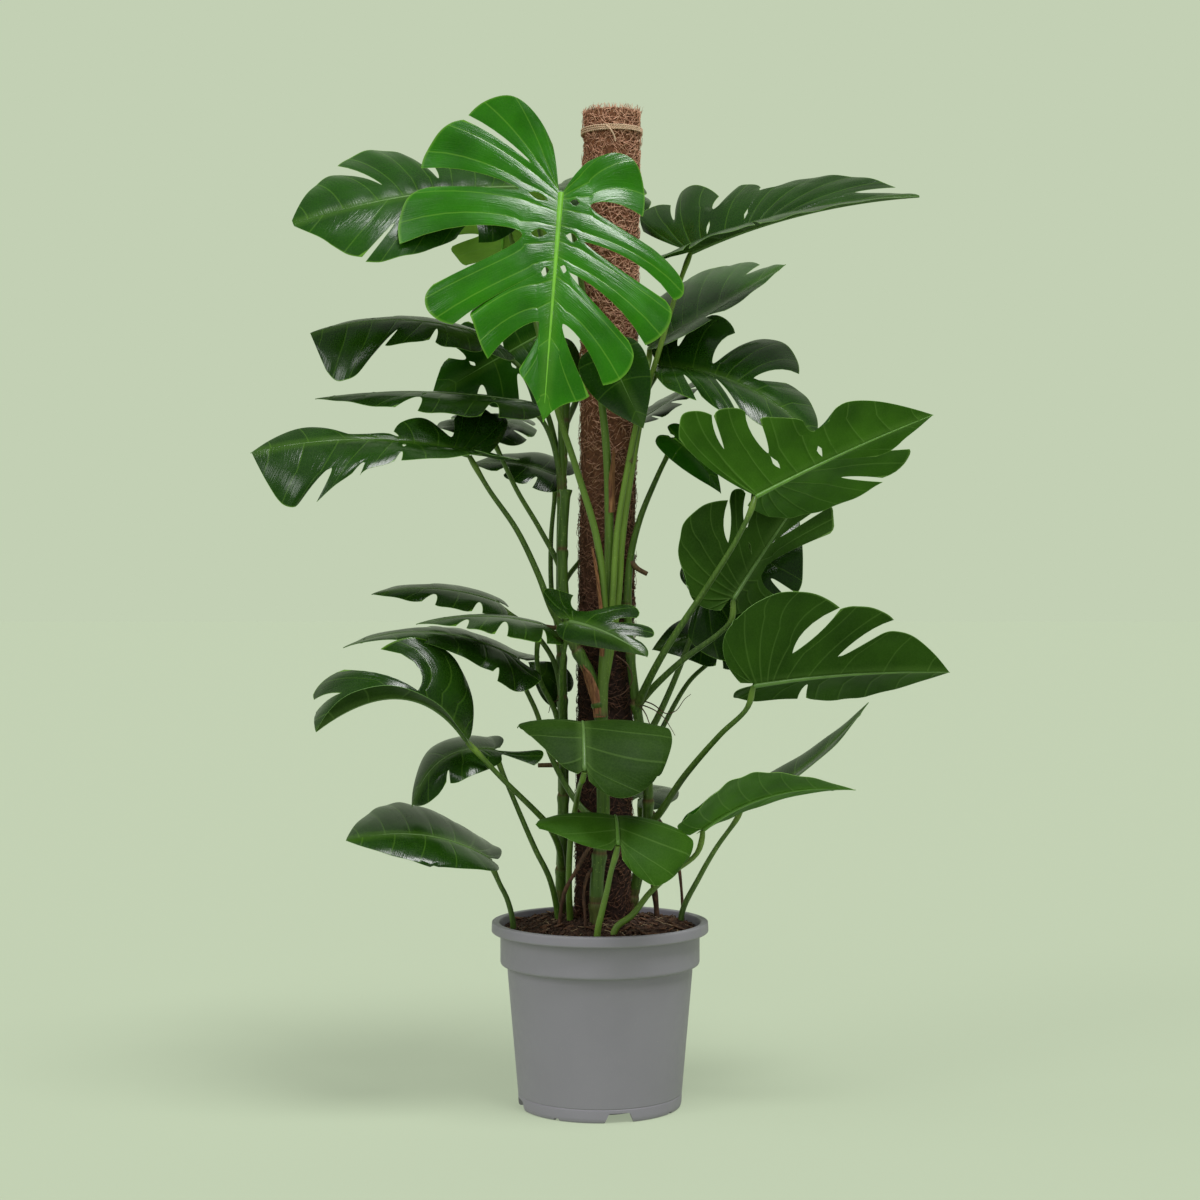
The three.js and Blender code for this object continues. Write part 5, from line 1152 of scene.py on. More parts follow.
# %% The front stem and its petioles
stems = {}
stems["front"] = dict(radius=(9, 6), foot=(-4, -35), route=[
    (-4, -38, 278), (0, -42, 321), (4, -45, 368), (2, -45, 432), (0, -45, 496), (-12, -43, 536),
    (-34, -40, 579), (-44, -35, 628), (-46, -30, 702), (-42, -27, 764)], petioles=[
    dict(leaf="01", radius=7, route=[
        (1, -46, 487), (6, -50, 567), (10, -50, 628), (11, -58, 725), (7, -66, 822),
        (-7, -80, 930), (-22, -95, 1006), (-33, -112, 1072)]),
    dict(leaf="03", radius=5, route=[
        (0, -46, 499), (6, -56, 567), (5, -62, 626), (-4, -72, 703), (-28, -75, 785),
        (-52, -65, 860), (-73, -45, 946), (-95, -8, 1032), (-112, 40, 1084)]),
    dict(leaf="05", radius=5, route=[
        (0, -45, 499), (13, -46, 567), (22, -46, 628), (27, -50, 701), (39, -52, 787),
        (55, -45, 873), (76, -60, 945), (99, -38, 1021)]),
    dict(leaf="06", radius=4.5, route=[
        (0, -46, 506), (10, -54, 567), (15, -60, 628), (21, -68, 713), (35, -72, 798),
        (50, -66, 871), (60, -40, 920)]),
    dict(leaf="07", radius=3.6, route=[(35, -71, 795), (56, -52, 878), (68, -30, 904)]),
    dict(leaf="19", radius=4, route=[
        (2, -44, 356), (-18, -38, 368), (-39, -26, 394), (-64, -20, 443), (-78, -20, 488),
        (-94, -32, 525)]),
    dict(leaf="25", radius=4.6, route=[
        (-26, -42, 562), (-44, -44, 590), (-59, -44, 616), (-76, -44, 660), (-102, -48, 714),
        (-135, -62, 762), (-152, -68, 791)]),
    dict(leaf="27", radius=3.6, route=[
        (-43, -37, 613), (-49, -26, 665), (-74, -18, 715), (-103, -14, 764), (-132, -10, 824)]),
    dict(leaf="31", radius=3, route=[(1, -71, 868), (7, -84, 887), (11, -91, 902)]),
])
print("petioles and stubs:", len(stems["front"]["petioles"]))

# %% The right stem and its petioles
stems["right"] = dict(radius=(8, 5), foot=(38, 45), route=[
    (57, 30, 326), (60, 10, 390), (52, -10, 454), (44, -22, 504), (37, -28, 566),
    (33, -33, 628)], petioles=[
    dict(leaf="08", radius=5, route=[
        (46, -20, 496), (56, -46, 522), (80, -76, 569), (133, -104, 651), (163, -114, 700),
        (179, -118, 733)]),
    dict(leaf="09", radius=5, route=[
        (33, -32, 616), (37, -31, 677), (49, -26, 727), (72, -8, 783), (87, 5, 815)]),
    dict(leaf="10", radius=4.5, route=[
        (46, -21, 498), (68, -34, 523), (103, -48, 556), (146, -60, 588), (160, -64, 604)]),
    dict(leaf="11", radius=4.5, route=[
        (53, -9, 448), (69, 2, 476), (85, 10, 509), (106, 20, 559), (130, 26, 624)]),
    dict(leaf="12", radius=3.6, route=[
        (56, 1, 422), (78, 36, 465), (114, 68, 524), (148, 84, 556)]),
    dict(leaf="13", radius=5, route=[
        (58, 26, 341), (75, -5, 364), (102, -35, 409), (145, -80, 465), (176, -108, 499)]),
    dict(leaf="33", radius=3.2, route=[(57, 31, 322), (52, 54, 342), (51, 68, 365)]),
    dict(radius=3.4, route=[(37, -31, 675), (47, -34, 666), (58, -36, 660)]),
])
print("petioles and stubs:", len(stems["right"]["petioles"]))

# %% The left stem and its petioles
stems["left"] = dict(radius=(7.5, 5), foot=(-50, 35), route=[
    (-46, 10, 378), (-47, 8, 503), (-49, 8, 628), (-48, 12, 753), (-44, 22, 854),
    (-38, 32, 931)], petioles=[
    dict(leaf="02", radius=4.5, route=[
        (-48, 12, 766), (-50, 8, 903), (-60, 5, 1015), (-81, -15, 1105)]),
    dict(leaf="04", radius=4, route=[
        (-44, 21, 848), (-30, 54, 882), (-10, 78, 948), (0, 88, 1012), (4, 92, 1112)]),
    dict(leaf="20", radius=4.5, route=[
        (-48, 25, 286), (-51, 2, 319), (-64, -26, 350), (-75, -44, 365), (-119, -80, 413),
        (-146, -92, 443)]),
    dict(leaf="22", radius=3.6, route=[
        (-47, 8, 503), (-58, -4, 553), (-87, -12, 593), (-117, -14, 614)]),
    dict(leaf="23", radius=3.8, route=[
        (-47, 9, 440), (-55, -5, 487), (-74, -32, 530), (-77, -52, 567)]),
    dict(leaf="24", radius=3.8, route=[
        (-46, 10, 380), (-47, -22, 436), (-47, -46, 479), (-46, -82, 549), (-40, -98, 583)]),
    dict(leaf="26", radius=3.6, route=[
        (-48, 13, 776), (-60, -4, 827), (-74, -14, 854), (-87, -18, 864)]),
    dict(leaf="28", radius=3.4, route=[
        (-49, 8, 578), (-60, 28, 628), (-62, 42, 704), (-57, 47, 764)]),
    dict(leaf="29", radius=4, route=[
        (-48, 12, 753), (-57, 24, 829), (-76, 30, 886), (-107, 26, 927), (-133, 21, 942)]),
    dict(leaf="30", radius=3.8, route=[
        (-46, 16, 801), (-50, 48, 855), (-58, 70, 912), (-70, 78, 950)]),
    dict(leaf="32", radius=3.4, route=[
        (-49, 8, 616), (-43, 50, 653), (-19, 74, 686), (13, 82, 731), (32, 76, 795),
        (47, 64, 842)]),
    dict(leaf="34", radius=2.8, route=[(-47, 9, 447), (-46, 32, 475), (-46, 44, 500)]),
    dict(radius=3.2, route=[(-46, 9, 422), (-62, 4, 422), (-77, 0, 422)]),
    dict(radius=2.8, route=[(-49, 8, 593), (-61, 5, 594), (-71, 3, 596)]),
])
print("petioles and stubs:", len(stems["left"]["petioles"]))

# %% Petioles that rise from the soil
soil_petioles = [
    dict(leaf="14", radius=4, foot=(103, 36), route=[
        (126, 50, 276), (148, 60, 312), (175, 61, 350)]),
    dict(leaf="15", radius=4.4, foot=(18, -88), route=[
        (39, -84, 248), (60, -80, 274), (85, -75, 296), (117, -66, 319), (124, -61, 336)]),
    dict(leaf="16", radius=4.4, foot=(-37, -12), route=[
        (-38, -26, 260), (-38, -40, 300), (-35, -60, 345), (-29, -88, 381), (-24, -140, 408),
        (-20, -180, 420)]),
    dict(leaf="17", radius=4.4, foot=(-3, -110), route=[
        (2, -119, 256), (8, -133, 283), (13, -149, 309), (18, -163, 328)]),
    dict(leaf="18", radius=4, foot=(-107, -36), route=[
        (-114, -39, 261), (-123, -43, 280), (-130, -47, 297), (-133, -50, 303)]),
    dict(leaf="21", radius=4.2, foot=(-52, -6), route=[
        (-62, -22, 283), (-80, -32, 322), (-109, -40, 391), (-124, -42, 428)]),
]
print("petioles from the soil:", len(soil_petioles))

# %% [markdown]
# ## Stem finish
# The skin of stem and petiole is smooth green bark with a faint bloom: fine streaks that run
# along it, tiny pale specks, and dry brown where a ring, a foot or a cut stub has corked over.
# Two numbers on the points tell the shader where that is: dry, and light for the knees.

# %% Finish for stems and petioles


def stem_finish():
    material, tree = new_material("smooth_green_stem_skin")
    dry = add_node(tree, "Attribute", attribute_name="dry").outputs["Fac"]
    light = add_node(tree, "Attribute", attribute_name="light").outputs["Fac"]
    place = add_node(tree, "TexCoord").outputs["Object"]
    drawn = add_node(tree, "Mapping", {"Vector": place, "Scale": (1, 1, 0.08)})
    streak = add_node(tree, "TexNoise", {
        "Vector": drawn.outputs["Vector"], "Scale": 1 / (2.5 * MM), "Detail": 3.0})
    streaks = add_node(tree, "MapRange", {
        "Value": streak.outputs["Fac"], "From Min": 0.4, "From Max": 0.65,
        "To Max": 0.5}).outputs["Result"]
    speck = add_node(tree, "TexVoronoi", {"Vector": place, "Scale": 1 / (5 * MM)})
    specks = add_node(tree, "MapRange", {
        "Value": speck.outputs["Distance"], "From Min": 0.12, "From Max": 0.2, "To Min": 0.5,
        "To Max": 0.0}).outputs["Result"]
    cork = layered(tree, "#4c3a24", (streaks, "#75603c"))
    skin = layered(tree, "#36551a", (light, "#86a83f"),
                   (patches(tree, 90, 2.0, 0.0, 0.6), "#26430f"), (streaks, "#5c7d2e"),
                   (specks, "#86a052"), (dry, cork))
    rough = add_node(tree, "MapRange", {"Value": dry, "To Min": 0.42, "To Max": 0.85})
    ridges = add_node(tree, "Bump", {
        "Height": streak.outputs["Fac"], "Strength": 0.35, "Distance": 0.3 * MM})
    return finished(material, {
        "Base Color": skin, "IOR": 1.45, "Roughness": rough.outputs["Result"],
        "Normal": ridges.outputs["Normal"]})


stem_skin = stem_finish()
print("finish:", stem_skin.name)

# %% [markdown]
# ## Making the stems
# A stem and the petioles that grow from it are one living piece, so they are one mesh. A ring is
# a swelling with a narrow groove above it. It sits wherever a petiole starts, and between.

# %% Tubes of petioles
SOIL_LEVEL = 219
ROOT_DEPTH = 184
PETIOLE_TIP = 2.7
STUB_TIP = 0.85
KNEE_LENGTH = 13
DARK = 0.12
PALE = {"01": 0.4, "03": 0.45, "05": 0.75, "06": 0.65, "15": 0.5, "16": 0.4, "17": 0.5}
leaf_of = {leaf["name"][5:7]: leaf for leaf in leaves}


def rooted(foot, route):
    return [(*foot, ROOT_DEPTH), (*foot, SOIL_LEVEL + 12)] + route


def petiole_mesh(petiole, route):
    radius = petiole["radius"]
    leaf = leaf_of.get(petiole.get("leaf"))
    if leaf:
        _, at = blade_frame(leaf)
        start, _, normal, _ = at(np.array(0.0))
        route = route + [(start - 1.6 * normal).tolist()]
    length = path_length(smooth_path(route, 40))
    count = max(8, round(length / 7))
    path = smooth_path(route, count)
    s = np.linspace(0, length, count)
    end_radius = PETIOLE_TIP if leaf else STUB_TIP * radius
    width = mix(radius, end_radius, s / length)
    width *= 1 + 0.3 * np.exp(-s / 16) * (s < 0.4 * length)
    light = np.full(count, PALE.get(petiole.get("leaf"), DARK))
    dry = np.ones(count)
    if leaf:
        dry = 0.75 * np.exp(-s / 9)
        knee = bump(s, length - KNEE_LENGTH - 1, KNEE_LENGTH)
        width *= 1 + 0.34 * knee
        light = np.maximum(light, 0.8 * knee)
    return path, width, light, dry


print("paler petioles:", len(PALE))

# %% Tubes of stems
RING_SPACING = 62
RING_APART = 22
STEM_SIDES = 18
PETIOLE_SIDES = 14


def stem_run(stem, chance):
    route = rooted(stem["foot"], stem["route"])
    length = path_length(smooth_path(route, 60))
    count = round(length / 2.2)
    path = smooth_path(route, count)
    s = np.linspace(0, length, count)
    width = mix(*stem["radius"], s / length)
    dry = np.where(path[:, 2] < SOIL_LEVEL + 45, 0.5, 0.0)
    levels = [path[np.argmin(np.linalg.norm(path - petiole["route"][0], axis=1)), 2]
              for petiole in stem["petioles"]]
    spare = np.arange(SOIL_LEVEL + 30, path[-1, 2], RING_SPACING) + chance.uniform(-9, 9)
    levels += [z for z in spare if min(abs(z - other) for other in levels) > RING_APART]
    for level in levels:
        width *= 1 + 0.16 * bump(path[:, 2], level, 6) - 0.13 * bump(path[:, 2], level + 6, 1.6)
        dry = np.maximum(dry, bump(path[:, 2], level + 5.5, 2.4))
    return path, width, np.full(count, 0.1), dry, STEM_SIDES


def green_piece(name, runs, stands_for):
    parts, light, dry = [], [], []
    for path, width, run_light, run_dry, sides in runs:
        parts.append(tubes([path], [width], sides))
        light.append(np.repeat(run_light, sides))
        dry.append(np.repeat(run_dry, sides))
    make_piece(name, *join_meshes(parts), [stem_skin], stands_for, "stem",
               numbers={"light": np.concatenate(light), "dry": np.concatenate(dry)}, crisp=60)


print("stem helpers ready")

# %% Make the stems and the petioles
for number, (side, stem) in enumerate(stems.items()):
    runs = [stem_run(stem, np.random.default_rng(number))]
    for petiole in stem["petioles"]:
        runs.append((*petiole_mesh(petiole, petiole["route"]), PETIOLE_SIDES))
    green_piece(f"stem_{side}_with_petioles", runs, [f"stem_{side}"])

for petiole in soil_petioles:
    name = "petiole_" + petiole["leaf"]
    run = petiole_mesh(petiole, rooted(petiole["foot"], petiole["route"]))
    green_piece(name + "_round", [(*run, PETIOLE_SIDES)], [name])

# %% [markdown]
# ## Aerial roots
# Brown roots leave the stems and go down into the soil. They are as tough as cord, and their
# bark is fibrous and cracked along. Their route wanders a little more than that of a stem, so a
# small seeded wobble is added between the two fixed ends. Thin dry rootlets hang beside them.

# %% Routes and bark of the roots
roots = [
    dict(name="root_right_thick", radius=(4.2, 3.4), foot=(71, 46), route=[
        (58, 26, 341), (64, 40, 293)]),
    dict(name="root_right_thin", radius=(2.2, 1.8), foot=(105, 52), route=[
        (58, 18, 371), (76, 30, 348), (94, 42, 312)]),
    dict(name="root_front_left", radius=(2.6, 2.2), foot=(-50, -42), route=[
        (-2, -44, 336), (-16, -54, 322), (-29, -58, 299), (-44, -52, 270)]),
    dict(name="root_front_middle", radius=(2, 1.8), foot=(-18, -48), route=[
        (-2, -41, 307), (-15, -44, 292), (-20, -46, 273)]),
]
rootlets = [
    [(44, -22, 506), (62, -30, 500), (80, -30, 488), (94, -34, 492), (104, -32, 506),
     (112, -30, 512)],
    [(46, -20, 500), (70, -34, 492), (88, -40, 470), (92, -44, 462)],
    [(44, -24, 508), (58, -36, 488), (66, -40, 470), (82, -38, 456)],
    [(20, -40, 560), (34, -44, 548), (40, -44, 530), (30, -46, 514), (14, -48, 508)],
    [(52, -10, 456), (66, -22, 452), (76, -30, 438), (78, -34, 422)],
    [(-46, 6, 505), (-58, -2, 500), (-64, -10, 488)],
    [(2, -46, 404), (-8, -56, 398), (-12, -62, 386)],
]


def bark_finish(name, dark, light, grain_mm, rough, stretch):
    material, tree = new_material(name)
    place = add_node(tree, "TexCoord").outputs["Object"]
    drawn = add_node(tree, "Mapping", {"Vector": place, "Scale": stretch})
    grain = add_node(tree, "TexNoise", {
        "Vector": drawn.outputs["Vector"], "Scale": 1 / (grain_mm * MM), "Detail": 5.0,
        "Distortion": 0.6})
    share = add_node(tree, "MapRange", {
        "Value": grain.outputs["Fac"], "From Min": 0.35, "From Max": 0.65})
    colour = layered(tree, dark, (share.outputs["Result"], light),
                     (patches(tree, 20, 2.0, 0.0, 0.5), dark))
    ridges = add_node(tree, "Bump", {
        "Height": grain.outputs["Fac"], "Strength": 0.8, "Distance": 0.4 * MM})
    return finished(material, {
        "Base Color": colour, "Roughness": rough, "Normal": ridges.outputs["Normal"]})


root_bark = bark_finish("fibrous_root_bark", "#33241a", "#6b4c36", 2.0, 0.85, (1, 1, 0.25))
print("roots:", len(roots), "rootlets:", len(rootlets))

# %% Make the roots
ROOT_RINGS = 44
ROOTLET_RINGS = 26


def wandering(route, count, amount, chance):
    path = smooth_path(route, count)
    t = np.linspace(0, 1, count)[:, None]
    for turns in (1, 2, 4):
        path += amount / turns * chance.uniform(-1, 1, 3) * np.sin(np.pi * turns * t) * (1, 1, 0.4)
    return path


for number, root in enumerate(roots):
    chance = np.random.default_rng(40 + number)
    route = root["route"] + rooted(root["foot"], [])[::-1]
    path = wandering(route, ROOT_RINGS, 1.2, chance)
    width = mix(*root["radius"], np.linspace(0, 1, ROOT_RINGS))
    width *= 1 + 0.1 * np.sin(np.linspace(0, 26, ROOT_RINGS) + number)
    points, faces = tubes([path], [width], 12)
    make_piece(root["name"] + "_bark", points, faces, [root_bark], [root["name"]], "root")

chance = np.random.default_rng(50)
rootlet_width = np.linspace(1.0, 0.35, ROOTLET_RINGS)
rootlet_meshes = [
    tubes([wandering(route, ROOTLET_RINGS, 2.0, chance)], [rootlet_width], 8)
    for route in rootlets]
make_piece("dry_rootlets", *join_meshes(rootlet_meshes), [root_bark], [], "root")

# %% [markdown]
# ## Dried sheaths
# Each new leaf comes out of a papery sheath that later dries to a brown rag and clings to the
# stem. Three of them are seen. Each is a thin curled strip that follows the stem or petiole that
# it clasps, narrows upwards and ends ragged. It is built as a grid that bends round the stem,
# with ribs along it, and both of its faces are real so that its edge shows a thickness.

# %% Make the sheaths
SHEATH_THICKNESS = 0.6
petiole_routes = {petiole.get("leaf"): petiole["route"] for petiole in stems["front"]["petioles"]}
sheaths = [
    ("sheath_low", stems["front"]["route"], 8.9, (0.42, 0.56), -110, 56),
    ("sheath_middle", petiole_routes["03"], 5.6, (0.1, 0.32), -160, 64),
    ("sheath_upper", petiole_routes["01"], 7.1, (0.42, 0.55), -30, 64),
]
sheath_paper = bark_finish("dried_leaf_sheath", "#5a3420", "#a5764c", 1.6, 0.75, (1, 1, 0.06))


def sheath_mesh(route, radius, stretch, facing, spread, chance):
    long, wide, steps = 30, 16, 400
    path = smooth_path(route, steps)
    along = unit(np.gradient(path, axis=0))
    s = np.linspace(0, 1, long)[:, None]
    ragged = 1 - 0.16 * chance.random(wide) * np.linspace(0.4, 1, wide)
    place = (mix(*stretch, s * ragged) * (steps - 1)).astype(int)
    centre, way = path[place], along[place]
    east = unit(np.array([1.0, 0, 0]) - way[..., :1] * way)
    north = np.cross(way, east)
    half = spread * (1 - 0.75 * s ** 2)
    angle = np.radians(facing + half * np.linspace(-1, 1, wide) + 4 * np.sin(9 * s))
    ribs = 0.25 * np.sin(np.linspace(0, 40, wide))
    lift = 1.8 * s ** 2 + ribs + 0.9 * chance.random(wide) * s ** 3
    sheets = [centre + (radius + lift + layer)[..., None] * (
        np.cos(angle)[..., None] * east + np.sin(angle)[..., None] * north)
        for layer in (SHEATH_THICKNESS, 0)]
    index = np.arange(long * wide).reshape(long, wide)
    quads = np.stack([index[:-1, :-1], index[:-1, 1:], index[1:, 1:], index[1:, :-1]], -1)
    quads = quads.reshape(-1, 4)
    loop = np.concatenate([index[0, :-1], index[:-1, -1], index[-1, :0:-1], index[:0:-1, 0]])
    size = long * wide
    rim = [(b, a, a + size, b + size) for a, b in zip(loop, np.roll(loop, -1))]
    faces = quads.tolist() + (quads[:, ::-1] + size).tolist() + [[int(n) for n in f] for f in rim]
    return np.vstack([sheet.reshape(-1, 3) for sheet in sheets]), faces


for number, (name, *shape) in enumerate(sheaths):
    points, faces = sheath_mesh(*shape, np.random.default_rng(60 + number))
    make_piece(name + "_dried", points, faces, [sheath_paper], [name], "sheath")

# %% [markdown]
# ## Nursery pot
# The pot is injection moulded from recycled polypropylene, which is why its grey is dull and
# even. Moulding leaves small rounded edges everywhere, a wide turned-over rim, a step under the
# collar and notches in the foot for draining. Its profile is turned on a lathe, with each corner
# replaced by a small arc, and the notches are cut by a boolean with the same cutters as the
# solid's.

# %% Profile of the pot
RIM_RADIUS, MOUTH_RADIUS, POT_HEIGHT, RIM_DEPTH = 135, 125, 228.5, 13
COLLAR_BOTTOM, COLLAR_RADIUS, BODY_TOP_RADIUS = 176, 124, 115
FOOT_RADIUS, FOOT_HEIGHT, WALL, FLOOR = 101.5, 16.5, 2.5, 3
CHANNEL_INNER, CHANNEL_OUTER, CHANNEL_HEIGHT = 60, 95, 13
outside = [
    (CHANNEL_INNER - 2, 0), (CHANNEL_INNER, CHANNEL_HEIGHT), (CHANNEL_OUTER, CHANNEL_HEIGHT),
    (CHANNEL_OUTER, 0), (FOOT_RADIUS - 2.5, 0), (FOOT_RADIUS - 0.9, 1.5), (FOOT_RADIUS, 5),
    (FOOT_RADIUS + 0.4, FOOT_HEIGHT - 0.8), (FOOT_RADIUS - 0.3, FOOT_HEIGHT),
    (FOOT_RADIUS + 0.5, FOOT_HEIGHT + 0.8), (BODY_TOP_RADIUS, COLLAR_BOTTOM - 10),
    (BODY_TOP_RADIUS, COLLAR_BOTTOM - 2), (COLLAR_RADIUS - 3, COLLAR_BOTTOM),
    (COLLAR_RADIUS - 0.8, COLLAR_BOTTOM + 0.8), (COLLAR_RADIUS, COLLAR_BOTTOM + 3),
    (COLLAR_RADIUS, POT_HEIGHT - RIM_DEPTH - 1), (RIM_RADIUS - 2, POT_HEIGHT - RIM_DEPTH),
    (RIM_RADIUS, POT_HEIGHT - RIM_DEPTH + 1.6), (RIM_RADIUS - 0.6, POT_HEIGHT)]
inside = [
    (MOUTH_RADIUS + 1, POT_HEIGHT), (MOUTH_RADIUS, POT_HEIGHT - 1.2),
    (COLLAR_RADIUS - WALL, POT_HEIGHT - RIM_DEPTH), (COLLAR_RADIUS - WALL, COLLAR_BOTTOM + WALL),
    (BODY_TOP_RADIUS - WALL, COLLAR_BOTTOM - 3),
    (FOOT_RADIUS - WALL - 0.5, CHANNEL_HEIGHT + WALL + 2),
    (FOOT_RADIUS - WALL - 2, CHANNEL_HEIGHT + WALL), (CHANNEL_INNER - WALL, CHANNEL_HEIGHT + WALL),
    (CHANNEL_INNER - 2 * WALL, FLOOR)]
print("pot profile:", len(outside) + len(inside), "corners")

# %% Turning and notching
CORNER_ARC = 0.9
POT_SECTORS = 144
NOTCH_TURN = 13.5


def soft_corners(profile, radius):
    corners = np.array(profile, float)
    made = [corners[0]]
    for before, corner, after in zip(corners, corners[1:], corners[2:]):
        ends = [corner + (other - corner) * min(0.45, radius / np.linalg.norm(other - corner))
                for other in (before, after)]
        made += [(1 - t) ** 2 * ends[0] + 2 * t * (1 - t) * corner + t ** 2 * ends[1]
                 for t in (0, 0.33, 0.67, 1)]
    return np.array(made + [corners[-1]])


def turned(profile, sectors):
    turn = 2 * np.pi * np.arange(sectors) / sectors
    rings = np.stack([profile[1:-1, :1] * np.cos(turn), profile[1:-1, :1] * np.sin(turn),
                      profile[1:-1, 1:] + 0 * turn], -1)
    size = len(rings)
    index = np.arange(size * sectors).reshape(size, sectors)
    beside = np.roll(index, -1, axis=1)
    low, high = size * sectors, size * sectors + 1
    fans = [[low, int(b), int(a)] for a, b in zip(index[0], beside[0])]
    fans += [[high, int(a), int(b)] for a, b in zip(index[-1], beside[-1])]
    ends = [[0, 0, profile[0, 1]], [0, 0, profile[-1, 1]]]
    return np.vstack([rings.reshape(-1, 3), ends]), ring_walls(index) + fans


def notch(width, height, degrees):
    half = width / 2
    shape = [(-1.12 * half, -2), (1.12 * half, -2), (0.82 * half, 0.82 * height),
             (0.7 * half, height), (-0.7 * half, height), (-0.82 * half, 0.82 * height)]
    a = math.radians(degrees - 90)
    across, out = np.array([math.cos(a), math.sin(a)]), np.array([-math.sin(a), math.cos(a)])
    points = [(*(x * across + r * out), z)
              for r in (CHANNEL_OUTER - 4, FOOT_RADIUS + 3) for x, z in shape]
    sides = [(n + 6, (n + 1) % 6 + 6, (n + 1) % 6, n) for n in range(6)]
    return np.array(points), sides + [(0, 1, 2, 3, 4, 5), (11, 10, 9, 8, 7, 6)]


print("pot helpers ready")

# %% Turn the pot and cut its notches
profile = np.vstack([[(0, 0)], soft_corners(outside + inside, CORNER_ARC), [(0, FLOOR)]])
body = new_object("pot_turned", plain_mesh("pot_turned", *turned(profile, POT_SECTORS)))
angles = [quarter - 90 + NOTCH_TURN for quarter in (0, 90, 180, 270)]
cutters = [notch(34, 12, angle) for angle in angles] + [notch(8, 3, angle + 45) for angle in angles]
cutter = new_object("pot_notches", plain_mesh("pot_notches", *join_meshes(cutters)))
cut = body.modifiers.new("notches", "BOOLEAN")
cut.object, cut.operation, cut.solver = cutter, "DIFFERENCE", "EXACT"
shaped = body.evaluated_get(bpy.context.evaluated_depsgraph_get()).to_mesh()
pot_points = np.array([vertex.co for vertex in shaped.vertices])
pot_faces = [list(polygon.vertices) for polygon in shaped.polygons]
bpy.data.objects.remove(body)
bpy.data.objects.remove(cutter)
print("pot faces after the cut:", len(pot_faces))

# %% Finish of the pot


def pot_finish():
    material, tree = new_material("moulded_recycled_polypropylene")
    place = add_node(tree, "TexCoord").outputs["Object"]
    level = add_node(tree, "SeparateXYZ", {"Vector": place}).outputs["Z"]
    # The top 3 mm of the rim are painted a lighter grey, as the light that falls on its upper face
    painted_rim_light = add_node(tree, "MapRange", {
        "Value": level, "From Min": (POT_HEIGHT - 3) * MM, "From Max": POT_HEIGHT * MM,
        "To Max": 0.35}).outputs["Result"]
    fleck = add_node(tree, "TexNoise", {
        "Vector": place, "Scale": 1 / (2.2 * MM), "Detail": 4.0})
    dust = add_node(tree, "MapRange", {
        "Value": fleck.outputs["Fac"], "From Min": 0.62, "From Max": 0.8,
        "To Max": 0.25}).outputs["Result"]
    grey = layered(tree, "#87848d", (patches(tree, 70, 3.0, 0.0, 0.35), "#7c7982"),
                   (painted_rim_light, "#9b9a9f"), (dust, "#a5a196"))
    skin = add_node(tree, "TexNoise", {
        "Vector": place, "Scale": 1 / (0.9 * MM), "Detail": 2.0})
    texture = add_node(tree, "Bump", {
        "Height": skin.outputs["Fac"], "Strength": 0.25, "Distance": 0.08 * MM})
    return finished(material, {
        "Base Color": grey, "IOR": 1.49, "Roughness": patches(tree, 12, 4.0, 0.46, 0.58),
        "Normal": texture.outputs["Normal"]})


make_piece("nursery_pot", pot_points, pot_faces, [pot_finish()], ["pot"], "pot", crisp=35)

# %% [markdown]
# ## Potting soil
# The pot is filled with a peat and bark mix. Its top is lumpy, a little mounded round the stems,
# and strewn with crumbs, flat chips of bark and pale bits of root. One displaced surface would
# look like melted chocolate, so loose crumbs are scattered over a fine uneven ground. They are
# copies of one small rough stone, each turned, stretched and sunk in at random.

# %% Soil surface
SOIL_MOUND = 13
SOIL_LUMP = 2.6
SOIL_SECTORS = 150


def soil_height(x, y):
    r = np.hypot(x, y)
    rise = SOIL_MOUND * np.cos(np.pi / 2 * np.minimum(r / MOUTH_RADIUS, 1))
    lump = np.sin(x / 11 + 2 * np.sin(y / 17)) * np.cos(y / 9 + 1.3 * np.sin(x / 14))
    fine = 0.9 * np.sin(x / 2.9 + 2 * np.sin(y / 4.1)) * np.sin(y / 3.3 + 1.7 * np.sin(x / 5.3))
    return SOIL_LEVEL + rise + (SOIL_LUMP * lump + fine) * np.clip((MOUTH_RADIUS - r) / 12, 0, 1)


wall = [(r - 0.35, z + 0.3) for r, z in reversed(inside[2:])]
wall[-1] = (wall[-1][0], POT_HEIGHT - RIM_DEPTH)
turn = 2 * np.pi * np.arange(SOIL_SECTORS) / SOIL_SECTORS
rings = [np.stack([r * np.cos(turn), r * np.sin(turn), z + 0 * turn], 1) for r, z in wall]
for r in np.linspace(wall[-1][0], 1.5, 46):
    x, y = r * np.cos(turn), r * np.sin(turn)
    rings.append(np.stack([x, y, soil_height(x, y)], 1))
index = np.arange(len(rings) * SOIL_SECTORS).reshape(-1, SOIL_SECTORS)
ground_faces = ring_walls(index) + [index[0, ::-1].tolist(), index[-1].tolist()]
ground = (np.vstack(rings), ground_faces)
print("soil surface:", len(ground_faces), "faces")

# %% One rough stone, scattered
golden = (1 + 5 ** 0.5) / 2
stone_points = unit(np.array([
    (-1, golden, 0), (1, golden, 0), (-1, -golden, 0), (1, -golden, 0), (0, -1, golden),
    (0, 1, golden), (0, -1, -golden), (0, 1, -golden), (golden, 0, -1), (golden, 0, 1),
    (-golden, 0, -1), (-golden, 0, 1)]))
stone_faces = np.array([
    (0, 11, 5), (0, 5, 1), (0, 1, 7), (0, 7, 10), (0, 10, 11), (1, 5, 9), (5, 11, 4), (11, 10, 2),
    (10, 7, 6), (7, 1, 8), (3, 9, 4), (3, 4, 2), (3, 2, 6), (3, 6, 8), (3, 8, 9), (4, 9, 5),
    (2, 4, 11), (6, 2, 10), (8, 6, 7), (9, 8, 1)])


